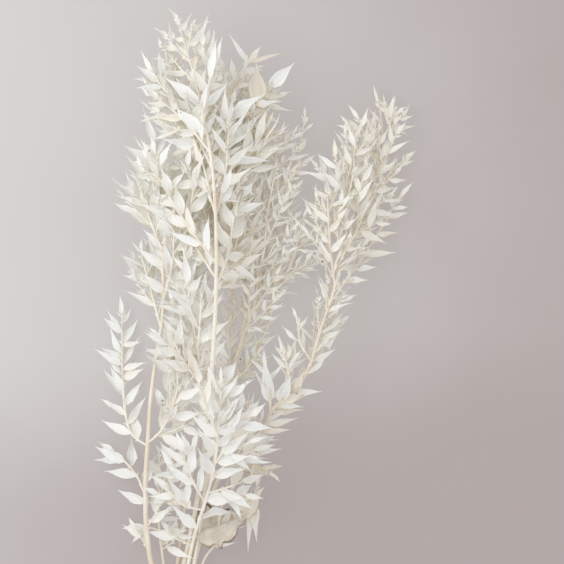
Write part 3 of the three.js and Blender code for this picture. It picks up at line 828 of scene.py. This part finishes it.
def grow_added(name, axes):
    """A stem's twigs that its solid doesn't have."""
    for number, (stem, root, own, route) in enumerate(ADDED_TWIGS):
        if stem == name:
            _, distance, parent = nearest_wood(axes, root)
            start = parent.place(distance)[0]
            twig = Axis([start, *route], ADDED_STEP, ADDED_NUMBER + number)
            twig.inherit(own, parent)
            twig.bare = ADDED_FIRST_LEAF
            twig.radius = SIDE_ROOT_RADIUS
            twig.is_stem = False
            grow_leaves(twig)
            axes.append(twig)


def grow_singles(name, axes):
    """A stem's single leaves that stand out."""
    for number, (stem, root, *form) in enumerate(SINGLE_LEAVES):
        if stem == name:
            _, distance, parent = nearest_wood(axes, root)
            parent.leaves.append(SingleLeaf(parent, distance, number, *form))


def grow_bunch():
    """Every stem by name, as the list of its axes with their leaves and side twigs."""
    bunch = {}
    count = 0
    for spec in STEMS:
        axes = grow_axes(spec, None, count)
        count += len(axes)
        solid = tips_of(spec["name"])
        for axis in axes:
            grow_leaves(axis, solid)
        grow_added(spec["name"], axes)
        for axis in axes:
            grow_bracts(axis)
            grow_sides(axis)
        grow_singles(spec["name"], axes)
        bunch[spec["name"]] = axes
    return bunch


def leaf_blank(columns, rows):
    """A closed leaf blank whose x is the place across, y the share from root to tip and z the side."""
    bm = bmesh.new()
    bm.loops.layers.uv.new("leaf_map")
    bmesh.ops.create_grid(bm, x_segments=columns, y_segments=rows, size=1, calc_uvs=True)
    under = bmesh.ops.duplicate(bm, geom=bm.verts[:] + bm.edges[:] + bm.faces[:])["geom"]
    bmesh.ops.reverse_faces(bm, faces=[item for item in under if isinstance(item, bmesh.types.BMFace)])
    under = {item for item in under if isinstance(item, bmesh.types.BMVert)}
    for vert in bm.verts:
        share = (vert.co.y + 1) / 2
        pointed = share < RIM or share > 1 - RIM
        rim = pointed or abs(vert.co.x) > 1 - RIM
        side = 0 if rim else (-1 if vert in under else 1)
        vert.co = (0 if pointed else vert.co.x, share, side)
    bmesh.ops.remove_doubles(bm, verts=bm.verts, dist=BLANK_MERGE)
    for face in bm.faces:
        face.smooth = True
    for edge in bm.edges:
        edge.smooth = any(vert.co.z != 0 for vert in edge.verts)
    blank = bpy.data.meshes.new("leaf_blank")
    bm.to_mesh(blank)
    bm.free()
    return blank


def add_leaf(bm, blank, leaf, thickness):
    """Adds one finished leaf to a mesh: the blank, with every vertex moved to its place."""
    colour = bm.verts.layers.float_vector["leaf_draws"]
    known = len(bm.verts)
    bm.from_mesh(blank)
    bm.verts.ensure_lookup_table()
    for vert in bm.verts[known:]:
        vert.co = leaf.skin(*vert.co, thickness) * MM
        vert[colour] = (leaf.tone, leaf.seed, leaf.blemish)


def add_rod(bm, stations, sides, shade=0.0):
    """Adds a closed rod through stations of centre, aside, up, radius and distance, in millimetres."""
    layer = bm.loops.layers.uv.verify()
    tone = bm.verts.layers.float["wood_shade"]
    last = len(stations) - 1
    made = bmesh.ops.create_grid(bm, x_segments=sides, y_segments=last, size=1, calc_uvs=True)["verts"]
    faces = {face for vert in made for face in vert.link_faces}
    for face in faces:
        face.smooth = True
        for loop in face.loops:
            around, along = loop[layer].uv
            loop[layer].uv = (around, stations[round(along * last)][4] * MM)
    for vert in made:
        centre, aside, up, radius, _ = stations[round((vert.co.y + 1) / 2 * last)]
        angle = vert.co.x * math.pi
        vert.co = (centre + (aside * math.cos(angle) + up * math.sin(angle)) * radius) * MM
        vert[tone] = shade
    bmesh.ops.remove_doubles(bm, verts=made, dist=ROD_MERGE)
    open_edges = {edge for face in faces for edge in face.edges if edge.is_boundary}
    caps = bmesh.ops.holes_fill(bm, edges=list(open_edges), sides=0)["faces"]
    for edge in open_edges:
        edge.smooth = False
    bmesh.ops.recalc_face_normals(bm, faces=list(faces) + caps)


def wood_stations(axis, root_radius, tip_radius, step, swelling):
    """Where the rings of a twig's or stem's wood go: closer together and thicker at every leaf."""
    nodes = sorted(leaf.at for leaf in axis.leaves)
    count = max(3, round(axis.length / step))
    stations = []
    for i in range(count + 1):
        distance = axis.length * i / count
        point, _, side, up = axis.eased(distance)
        radius = root_radius + (tip_radius - root_radius) * (distance / axis.length) ** TAPER_POWER
        near = min((abs(distance - node) for node in nodes), default=FAR_AWAY)
        radius *= 1 + swelling * math.exp(-((near / SWELLING_REACH) ** 2))
        stations.append((point, side, up, radius, distance))
    return stations


def finished(name, bm, slot, material, *nodes):
    """Makes a mesh a piece that rides on the bunch in place of its solids."""
    mesh = bpy.data.meshes.new(name)
    bm.to_mesh(mesh)
    bm.free()
    mesh.materials.append(material)
    piece = bpy.data.objects.new(name, mesh)
    bpy.context.scene.collection.objects.link(piece)
    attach(piece, "root")
    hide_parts(*nodes)
    return piece


def add_node(tree, kind, inputs=None, **settings):
    """Adds a shader node, with its settings, and its inputs linked or set."""
    made = tree.nodes.new(kind)
    for name, value in settings.items():
        setattr(made, name, value)
    for socket, value in (inputs or {}).items():
        if isinstance(value, bpy.types.NodeSocket):
            tree.links.new(value, made.inputs[socket])
        else:
            made.inputs[socket].default_value = value
    return made


def sum_of(tree, operation, first, second=0.5, third=0.5):
    """A Math node's result."""
    return add_node(tree, "ShaderNodeMath", {0: first, 1: second, 2: third}, operation=operation).outputs[0]


def ranged(tree, value, low, high, start=0.0, end=1.0):
    """A value's place between low and high, eased and kept within start and end."""
    inputs = {"Value": value, "From Min": low, "From Max": high, "To Min": start, "To Max": end}
    return add_node(tree, "ShaderNodeMapRange", inputs, interpolation_type="SMOOTHSTEP").outputs[0]


def blended(tree, share, first, second, blend_type="MIX"):
    """Two colours mixed by a share."""
    mix = add_node(tree, "ShaderNodeMix", data_type="RGBA", blend_type=blend_type)
    for socket, value in ((0, share), (6, first), (7, second)):
        if isinstance(value, bpy.types.NodeSocket):
            tree.links.new(value, mix.inputs[socket])
        else:
            mix.inputs[socket].default_value = value
    return mix.outputs[2]


def noise(tree, vector, scale, detail=2.0, roughness=0.5):
    """A noise texture's value."""
    inputs = {"Vector": vector, "Scale": scale, "Detail": detail, "Roughness": roughness}
    return add_node(tree, "ShaderNodeTexNoise", inputs).outputs[0]


def new_material(name):
    """An empty node material and its tree, with the output ready."""
    material = bpy.data.materials.new(name)
    material.use_nodes = True
    tree = material.node_tree
    tree.nodes.clear()
    return material, tree, add_node(tree, "ShaderNodeOutputMaterial")


def split(tree, vector):
    """The three parts of a vector."""
    return add_node(tree, "ShaderNodeSeparateXYZ", {"Vector": vector}).outputs


def bleached_leaf_material(settings):
    """Thin bleached leaf: lengthwise veins, cream and tan leaves among white ones, specks, dry tips. A
    leaf's cream and tan follow its tone, which is partly its own colour and partly painted shade on the
    back, low and right stems.
    """
    material, tree, output = new_material("bleached_leaf")
    place = add_node(tree, "ShaderNodeTexCoord").outputs["Object"]
    across, along, _ = split(tree, add_node(tree, "ShaderNodeUVMap", uv_map="leaf_map").outputs[0])
    own = add_node(tree, "ShaderNodeAttribute", attribute_name="leaf_draws", attribute_type="GEOMETRY")
    tone, seed, blemish = split(tree, own.outputs["Vector"])
    strand = add_node(tree, "ShaderNodeCombineXYZ", {
        "X": sum_of(tree, "MULTIPLY", across, 16.0),
        "Y": sum_of(tree, "MULTIPLY", along, 1.6),
        "Z": sum_of(tree, "MULTIPLY", seed, 50.0),
    }).outputs[0]
    veins = ranged(tree, noise(tree, strand, 1.0, 3.0, 0.65), 0.36, 0.64)
    mottle = noise(tree, place, 70.0, 3.0, 0.6)
    # Cream, tan and dry by the leaf's tone: partly its own colour, and partly painted shade from its stem.
    cream = sum_of(tree, "ADD", tone, sum_of(tree, "MULTIPLY_ADD", mottle, 0.5, -0.25))
    base = blended(tree, ranged(tree, cream, 0.1, 0.65), (*settings.white, 1), (*settings.cream, 1))
    base = blended(tree, ranged(tree, cream, 0.6, 1.15), base, (*settings.tan, 1))
    base = blended(tree, ranged(tree, cream, 1.1, 1.6), base, (*settings.dry, 1))
    stain = ranged(tree, tone, 0.0, 0.6, 0.3, 1.0)
    base = blended(tree, sum_of(tree, "MULTIPLY", veins, 0.45), base, (*settings.cream, 1))
    root = sum_of(tree, "MULTIPLY", ranged(tree, along, 0.35, 0.0, 0.0, 0.7), stain)
    base = blended(tree, root, base, (*settings.tan, 1))
    lines = sum_of(tree, "MULTIPLY_ADD", veins, 0.5, sum_of(tree, "MULTIPLY", across, 7.0))
    threads = sum_of(tree, "PINGPONG", lines, 0.5)
    thread = sum_of(tree, "MULTIPLY", ranged(tree, threads, 0.12, 0.0, 0.0, 0.7), stain)
    base = blended(tree, thread, base, (*settings.tan, 1))
    off_midrib = sum_of(tree, "ABSOLUTE", sum_of(tree, "SUBTRACT", across, 0.5))
    midrib = ranged(tree, off_midrib, 0.04, 0.0, 0.0, 0.35)
    base = blended(tree, midrib, base, (*settings.tan, 1))
    aged = sum_of(tree, "MAXIMUM", ranged(tree, blemish, 0.2, 1.0), ranged(tree, tone, 0.7, 1.4))
    margin = sum_of(tree, "MULTIPLY", ranged(tree, off_midrib, 0.42, 0.5), aged)
    base = blended(tree, margin, base, MARGIN_COLOUR)
    dry_end = sum_of(tree, "MULTIPLY", ranged(tree, along, 0.8, 1.0), ranged(tree, blemish, 0.55, 1.0))
    base = blended(tree, dry_end, base, (*settings.tan, 1))
    is_burnt = ranged(tree, blemish, 1.2, 2.0)
    scorched = sum_of(tree, "MULTIPLY", is_burnt, ranged(tree, mottle, 0.4, 0.62, 0.0, 0.55))
    base = blended(tree, scorched, base, SCORCHED_COLOUR)
    ragged = sum_of(tree, "MULTIPLY_ADD", noise(tree, place, 160.0, 2.0, 0.6), 0.12, off_midrib)
    burn = sum_of(tree, "MULTIPLY", ranged(tree, ragged, 0.45, 0.51), is_burnt)
    burn = sum_of(tree, "MULTIPLY", burn, ranged(tree, mottle, 0.3, 0.5, 0.4, 1.0))
    base = blended(tree, burn, base, BURN_COLOUR)
    crumbs = add_node(tree, "ShaderNodeTexVoronoi", {"Vector": place, "Scale": 130.0})
    chosen = ranged(tree, split(tree, crumbs.outputs["Color"])[0], 0.94, 0.95)
    speck = sum_of(tree, "MULTIPLY", chosen, ranged(tree, crumbs.outputs["Distance"], 0.19, 0.12))
    base = blended(tree, speck, base, SPECK_COLOUR)
    bump = add_node(tree, "ShaderNodeBump", {"Strength": 0.35, "Distance": 0.0004, "Height": veins})
    leaf = add_node(tree, "ShaderNodeBsdfPrincipled", {
        "Base Color": base, "Roughness": 0.55, "Specular IOR Level": 0.3, "Normal": bump.outputs[0],
    })
    through = blended(tree, 0.6, base, (*settings.through, 1), "MULTIPLY")
    glow = add_node(tree, "ShaderNodeBsdfTranslucent", {"Color": through})
    mixed = add_node(tree, "ShaderNodeMixShader", {0: settings.glow, 1: leaf.outputs[0], 2: glow.outputs[0]})
    tree.links.new(mixed.outputs[0], output.inputs["Surface"])
    return material


def bleached_wood_material(settings):
    """Dry straw-coloured stem: lengthwise fibres, darker patches, small scars."""
    material, tree, output = new_material("bleached_stem")
    place = add_node(tree, "ShaderNodeTexCoord").outputs["Object"]
    around, along, _ = split(tree, add_node(tree, "ShaderNodeUVMap", uv_map="wood_map").outputs[0])
    fibre_place = add_node(tree, "ShaderNodeCombineXYZ", {
        "X": sum_of(tree, "MULTIPLY", around, 9.0),
        "Y": sum_of(tree, "MULTIPLY", along, 60.0),
    }).outputs[0]
    fibres = noise(tree, fibre_place, 1.0, 4.0, 0.65)
    patches = noise(tree, place, 22.0, 3.0, 0.55)
    tan = sum_of(tree, "MULTIPLY_ADD", patches, 1.3, sum_of(tree, "MULTIPLY_ADD", fibres, 0.6, -0.5))
    own = add_node(tree, "ShaderNodeAttribute", attribute_name="wood_shade", attribute_type="GEOMETRY")
    tan = sum_of(tree, "MULTIPLY_ADD", own.outputs["Fac"], 0.55, tan)
    base = blended(tree, ranged(tree, tan, 0.3, 1.2), (*settings.pale, 1), (*settings.tan, 1))
    scars = noise(tree, place, 240.0, 2.0, 0.5)
    base = blended(tree, ranged(tree, scars, 0.66, 0.74, 0.0, 0.6), base, SCAR_COLOUR)
    bump = add_node(tree, "ShaderNodeBump", {"Strength": 0.4, "Distance": 0.0003, "Height": fibres})
    wood = add_node(tree, "ShaderNodeBsdfPrincipled", {
        "Base Color": base, "Roughness": 0.62, "Specular IOR Level": 0.3, "Normal": bump.outputs[0],
    })
    tree.links.new(wood.outputs[0], output.inputs["Surface"])
    return material


def twine_material(settings):
    """Natural twine: strands along each ply, with paler and darker fibres."""
    material, tree, output = new_material("natural_twine")
    place = add_node(tree, "ShaderNodeTexCoord").outputs["Object"]
    around, along, _ = split(tree, add_node(tree, "ShaderNodeUVMap", uv_map="wood_map").outputs[0])
    strand = add_node(tree, "ShaderNodeCombineXYZ", {
        "X": sum_of(tree, "MULTIPLY_ADD", around, 10.0, sum_of(tree, "MULTIPLY", along, 900.0)),
        "Y": sum_of(tree, "MULTIPLY", along, 120.0),
    }).outputs[0]
    fibres = noise(tree, strand, 1.0, 4.0, 0.7)
    patches = noise(tree, place, 150.0, 2.0, 0.5)
    shade = sum_of(tree, "MULTIPLY_ADD", fibres, 1.2, sum_of(tree, "MULTIPLY_ADD", patches, 0.5, -0.35))
    base = blended(tree, ranged(tree, shade, 0.2, 0.8), (*settings.dark, 1), (*settings.pale, 1))
    bump = add_node(tree, "ShaderNodeBump", {"Strength": 0.7, "Distance": 0.0003, "Height": fibres})
    twine = add_node(tree, "ShaderNodeBsdfPrincipled", {
        "Base Color": base, "Roughness": 0.9, "Specular IOR Level": 0.15, "Sheen Weight": 0.3,
        "Normal": bump.outputs[0],
    })
    tree.links.new(twine.outputs[0], output.inputs["Surface"])
    return material


def floor_material(settings):
    """Plain pale matt floor with the faint unevenness of a painted surface, a painted light falloff from the
    lit upper left to the darker lower right, and a painted glow that washes out the bunch's shadows on it.
    """
    material, tree, output = new_material("pale_floor")
    place = add_node(tree, "ShaderNodeTexCoord").outputs["Object"]
    cloud = noise(tree, place, 5.0, 4.0, 0.55)
    aside, ahead, _ = split(tree, place)
    # Painted light falloff: the floor's colour goes from near at the upper left, towards the key light, to
    # far at the lower right, darker as if less lit.
    away = sum_of(tree, "ADD", aside, ranged(tree, ahead, 0.02, -0.24, -0.15, 0.35))
    away = sum_of(tree, "MULTIPLY_ADD", cloud, 0.25, away)
    base = blended(tree, ranged(tree, away, -0.5, 0.6), (*settings.near, 1), (*settings.far, 1))
    # Painted glow: the floor emits its own colour, which fills in the shadows that the bunch casts on it and
    # lights the leaves from below.
    paint = add_node(tree, "ShaderNodeBsdfPrincipled", {
        "Base Color": base, "Roughness": 0.9, "Specular IOR Level": 0.1,
        "Emission Color": base, "Emission Strength": settings.glow,
    })
    tree.links.new(paint.outputs[0], output.inputs["Surface"])
    return material


class LeafSettings(bpy.types.PropertyGroup):
    """Sizes and colours of the leaves."""

    thickness: FloatProperty(
        name="Thickness", description="How thick a leaf is inside its rim", default=0.00035,
        min=0.0001, max=0.001, unit="LENGTH", precision=5)
    glow: FloatProperty(
        name="Light through", description="Share of the light that goes through a leaf's face",
        default=0.4, min=0, max=1, subtype="FACTOR")
    white: FloatVectorProperty(
        name="White", description="Colour of the best bleached leaves", default=(0.975, 0.985, 0.988),
        size=3, min=0, max=1, subtype="COLOR")
    # Cream and tan also colour the leaves of the back, low and right stems, where part of their darker tone
    # is painted shade.
    cream: FloatVectorProperty(
        name="Cream", description="Colour of less bleached leaves and of the veins",
        default=(0.978, 0.963, 0.902), size=3, min=0, max=1, subtype="COLOR")
    tan: FloatVectorProperty(
        name="Tan", description="Colour of unbleached leaves and dry tips", default=(0.975, 0.93, 0.80),
        size=3, min=0, max=1, subtype="COLOR")
    dry: FloatVectorProperty(
        name="Dry", description="Colour of the few brownish leaves", default=(0.8, 0.71, 0.57),
        size=3, min=0, max=1, subtype="COLOR")
    through: FloatVectorProperty(
        name="Colour through", description="Colour of the light that comes through a leaf",
        default=(0.99, 0.965, 0.89), size=3, min=0, max=1, subtype="COLOR")


class WoodSettings(bpy.types.PropertyGroup):
    """Sizes and colours of the stems and twigs."""

    swelling: FloatProperty(
        name="Node swelling", description="How much thicker the wood is where a leaf sits",
        default=0.35, min=0, max=1, subtype="FACTOR")
    pale: FloatVectorProperty(
        name="Pale", description="Colour of well bleached stem", default=(0.82, 0.75, 0.62),
        size=3, min=0, max=1, subtype="COLOR")
    tan: FloatVectorProperty(
        name="Tan", description="Colour of less bleached stem", default=(0.6, 0.46, 0.3),
        size=3, min=0, max=1, subtype="COLOR")


class TwineSettings(bpy.types.PropertyGroup):
    """Sizes and colours of the twine tie."""

    ply: FloatProperty(
        name="Ply width", description="Width of each of the two plies of the twine", default=0.0013,
        min=0.0005, max=0.003, unit="LENGTH", precision=5)
    turns: IntProperty(
        name="Turns", description="Turns of twine round the stems", default=4, min=1, max=6)
    pale: FloatVectorProperty(
        name="Pale", description="Colour of the pale fibres", default=(0.56, 0.42, 0.25),
        size=3, min=0, max=1, subtype="COLOR")
    dark: FloatVectorProperty(
        name="Dark", description="Colour of the dark fibres", default=(0.25, 0.16, 0.08),
        size=3, min=0, max=1, subtype="COLOR")


class StageSettings(bpy.types.PropertyGroup):
    """The floor, the lights and the camera."""

    # The floor's two colours are a painted light falloff: lit at the upper left, in shade at the lower
    # right.
    near: FloatVectorProperty(
        name="Floor at the light", description="Colour of the floor at the upper left",
        default=(0.190, 0.179, 0.172), size=3, min=0, max=1, subtype="COLOR")
    far: FloatVectorProperty(
        name="Floor away", description="Colour of the floor at the lower right",
        default=(0.107, 0.087, 0.084), size=3, min=0, max=1, subtype="COLOR")
    # The floor glow is a painted glow that fills in the bunch's shadows on the floor.
    glow: FloatProperty(
        name="Floor glow", description="How brightly the floor is lit from below, as a light table is",
        default=1.6, min=0)
    key: FloatProperty(
        name="Key light", description="Power of the soft light at the left", default=8, min=0,
        unit="POWER")
    fill: FloatProperty(
        name="Fill", description="Strength of the light from all round", default=0.92, min=0)
    tone: FloatProperty(
        name="Tone", description="Lifts the darker tones of the picture", default=1.6, min=1, max=3)
    height: FloatProperty(
        name="Camera height", description="How far above the floor the camera looks down from",
        default=2.6, min=1, unit="LENGTH")
    lens: FloatProperty(
        name="Lens", description="Focal length in millimetres", default=134.5, min=20)


class BUNCH_OT_stems(bpy.types.Operator):
    """Grows the wood and the leaves of every stem in place of its solid"""

    bl_idname = "bunch.stems"
    bl_label = "Stems and leaves"

    def execute(self, context):
        leaves, wood = context.scene.bunch_leaves, context.scene.bunch_wood
        leaf_finish = bleached_leaf_material(leaves)
        wood_finish = bleached_wood_material(wood)
        blank, small_blank, fine_blank = (leaf_blank(*grid) for grid in (LEAF_GRID, BRACT_GRID, BURNT_GRID))
        for name, axes in grow_bunch().items():
            foliage, timber = bmesh.new(), bmesh.new()
            foliage.verts.layers.float_vector.new("leaf_draws")
            foliage.loops.layers.uv.new("leaf_map")
            timber.loops.layers.uv.new("wood_map")
            timber.verts.layers.float.new("wood_shade")
            for axis in axes:
                step, sides = STEM_RINGS if axis.is_stem else TWIG_RINGS
                tip_radius = min(TIP_RADIUS, axis.radius)
                # Twig wood follows the stem's shade, so it carries the same painted shade as the leaves.
                shade = axis.wood if axis.is_stem else TWIG_TONE + TWIG_TONE_RANGE * axis.shade
                stations = wood_stations(axis, axis.radius, tip_radius, step, wood.swelling)
                add_rod(timber, stations, sides, shade)
                for twig in axis.sides:
                    step, sides = SIDE_RINGS
                    stations = wood_stations(twig, twig.radius, SIDE_TIP_RADIUS, step, wood.swelling)
                    add_rod(timber, stations, sides, SIDE_TONE + SIDE_TONE_RANGE * axis.shade)
                for leaf in axis.leaves + [leaf for twig in axis.sides for leaf in twig.leaves]:
                    shape = fine_blank if leaf.ripples > 1 else blank
                    add_leaf(foliage, shape, leaf, leaves.thickness / MM)
                for bract in axis.bracts + [bract for twig in axis.sides for bract in twig.bracts]:
                    add_leaf(foliage, small_blank, bract, leaves.thickness / MM)
            label = name.removeprefix("stem_")
            finished(f"wood_{label}", timber, "bleached_stem", wood_finish, name)
            finished(f"leaves_{label}", foliage, "bleached_leaf", leaf_finish, name)
        for spare in (blank, small_blank, fine_blank):
            bpy.data.meshes.remove(spare)
        return {"FINISHED"}


def lay_plies(bm, centres, ply):
    """Adds two plies of twine wound round each other along a line of centres, in millimetres."""
    for phase in (0, math.pi):
        stations = []
        walked = 0.0
        normal = PLY_NORMAL
        befores, afters = [centres[0]] + centres, centres[1:] + [centres[-1]]
        for before, centre, after in zip(befores, centres, afters):
            walked += (centre - before).length
            along = (after - before).normalized()
            normal = (normal - along * normal.dot(along)).normalized()
            across = along.cross(normal)
            lay = phase + walked * TWINE_LAY
            ring = centre + (normal * math.cos(lay) + across * math.sin(lay)) * (ply / 2)
            stations.append((ring, normal, across, ply * PLY_OVERLAP, walked))
        add_rod(bm, stations, PLY_SIDES)


class BUNCH_OT_twine(bpy.types.Operator):
    """Winds the twine round the bare stems in place of its solid ring"""

    bl_idname = "bunch.twine"
    bl_label = "Twine tie"

    def execute(self, context):
        twine = context.scene.bunch_twine
        low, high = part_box("twine_tie")
        middle, half = (low + high) / 2 / MM, (high - low) / 2 / MM
        ply = twine.ply / MM
        wide, tall = half.x - ply * PLY_INSET, half.z - ply * PLY_INSET
        turns = []
        count = twine.turns * TURN_POINTS
        for i in range(count + 1):
            angle = i / count * twine.turns * 2 * math.pi
            along = (i / count * 2 - 1) * (half.y - ply)
            turns.append(middle + Vector((math.cos(angle) * wide, along, math.sin(angle) * tall)))
        knot_at = middle + Vector((KNOT_ASIDE, 0, tall * KNOT_HEIGHT + ply))
        knot = []
        for i in range(KNOT_POINTS + 1):
            angle = i / (KNOT_POINTS / 2) * math.pi
            knot.append(knot_at + KNOT_SIZE * Vector((
                math.sin(angle) + 2 * math.sin(2 * angle),
                math.cos(angle) - 2 * math.cos(2 * angle),
                KNOT_DEPTH - KNOT_DEPTH * math.sin(3 * angle),
            )))
        bm = bmesh.new()
        bm.loops.layers.uv.new("wood_map")
        bm.verts.layers.float.new("wood_shade")
        lay_plies(bm, turns, ply)
        lay_plies(bm, knot, ply)
        for route in TWINE_ENDS:
            knots = [knot_at] + [knot_at + Vector(step) for step in route]
            lay_plies(bm, [curve_point(knots, i / END_POINTS) for i in range(END_POINTS + 1)], ply)
        finished("twine_turns", bm, "natural_twine", twine_material(twine), "twine_tie")
        return {"FINISHED"}


class BUNCH_OT_stage(bpy.types.Operator):
    """Sets the pale floor, the soft lights and the camera over the bunch"""

    bl_idname = "bunch.stage"
    bl_label = "Floor, light and camera"

    def execute(self, context):
        stage = context.scene.bunch_stage
        bm = bmesh.new()
        lowered = Matrix.Translation(FLOOR_PLACE)
        bmesh.ops.create_grid(bm, x_segments=1, y_segments=1, size=FLOOR_HALF, matrix=lowered)
        mesh = bpy.data.meshes.new("floor")
        bm.to_mesh(mesh)
        bm.free()
        mesh.materials.append(floor_material(stage))
        floor = bpy.data.objects.new("floor", mesh)
        context.scene.collection.objects.link(floor)
        lamp = bpy.data.lights.new("key_light", "AREA")
        lamp.energy = stage.key
        lamp.color = KEY_COLOUR
        lamp.size = KEY_SIZE
        holder = bpy.data.objects.new("key_light", lamp)
        holder.location = KEY_PLACE
        holder.visible_camera = False
        holder.rotation_euler = (KEY_TARGET - KEY_PLACE).to_track_quat("-Z", "Y").to_euler()
        context.scene.collection.objects.link(holder)
        world = bpy.data.worlds.new("soft_room")
        context.scene.world = world
        world.use_nodes = True
        background = world.node_tree.nodes["Background"]
        background.inputs["Color"].default_value = ROOM_COLOUR
        background.inputs["Strength"].default_value = stage.fill
        camera = bpy.data.cameras.new("camera")
        camera.lens = stage.lens
        camera.sensor_width = SENSOR_WIDTH
        viewer = bpy.data.objects.new("camera", camera)
        viewer.location = (CAMERA_ASIDE, CAMERA_AHEAD, stage.height)
        context.scene.collection.objects.link(viewer)
        context.scene.camera = viewer
        context.scene.view_settings.view_transform = "Standard"
        context.scene.view_settings.gamma = stage.tone
        context.scene.cycles.diffuse_bounces = FACE_BOUNCES
        context.scene.cycles.max_bounces = MOST_BOUNCES
        context.scene.cycles.transmission_bounces = FACE_BOUNCES
        return {"FINISHED"}


class BUNCH_PT_panel(bpy.types.Panel):
    """Lists the parts of the bunch and their sizes and colours"""

    bl_idname = "BUNCH_PT_panel"
    bl_label = "Bleached bunch"
    bl_space_type = "VIEW_3D"
    bl_region_type = "UI"
    bl_category = "Bunch"

    def draw(self, context):
        for operator, settings in PARTS:
            box = self.layout.box()
            box.operator(operator.bl_idname)
            group = getattr(context.scene, settings)
            for name in group.bl_rna.properties.keys():
                if name not in ("rna_type", "name"):
                    box.prop(group, name)


GROUPS = {
    "bunch_leaves": LeafSettings,
    "bunch_wood": WoodSettings,
    "bunch_twine": TwineSettings,
    "bunch_stage": StageSettings,
}
PARTS = (
    (BUNCH_OT_stems, "bunch_leaves"),
    (BUNCH_OT_stems, "bunch_wood"),
    (BUNCH_OT_twine, "bunch_twine"),
    (BUNCH_OT_stage, "bunch_stage"),
)
CLASSES = (*GROUPS.values(), BUNCH_OT_stems, BUNCH_OT_twine, BUNCH_OT_stage, BUNCH_PT_panel)


def register():
    for cls in CLASSES:
        bpy.utils.register_class(cls)
    for name, group in GROUPS.items():
        setattr(bpy.types.Scene, name, PointerProperty(type=group))


def unregister():
    for name in GROUPS:
        delattr(bpy.types.Scene, name)
    for cls in reversed(CLASSES):
        bpy.utils.unregister_class(cls)


def main():
    register()
    bpy.ops.bunch.stage()
    bpy.ops.bunch.stems()
    bpy.ops.bunch.twine()


if __name__ == "__main__":
    main()
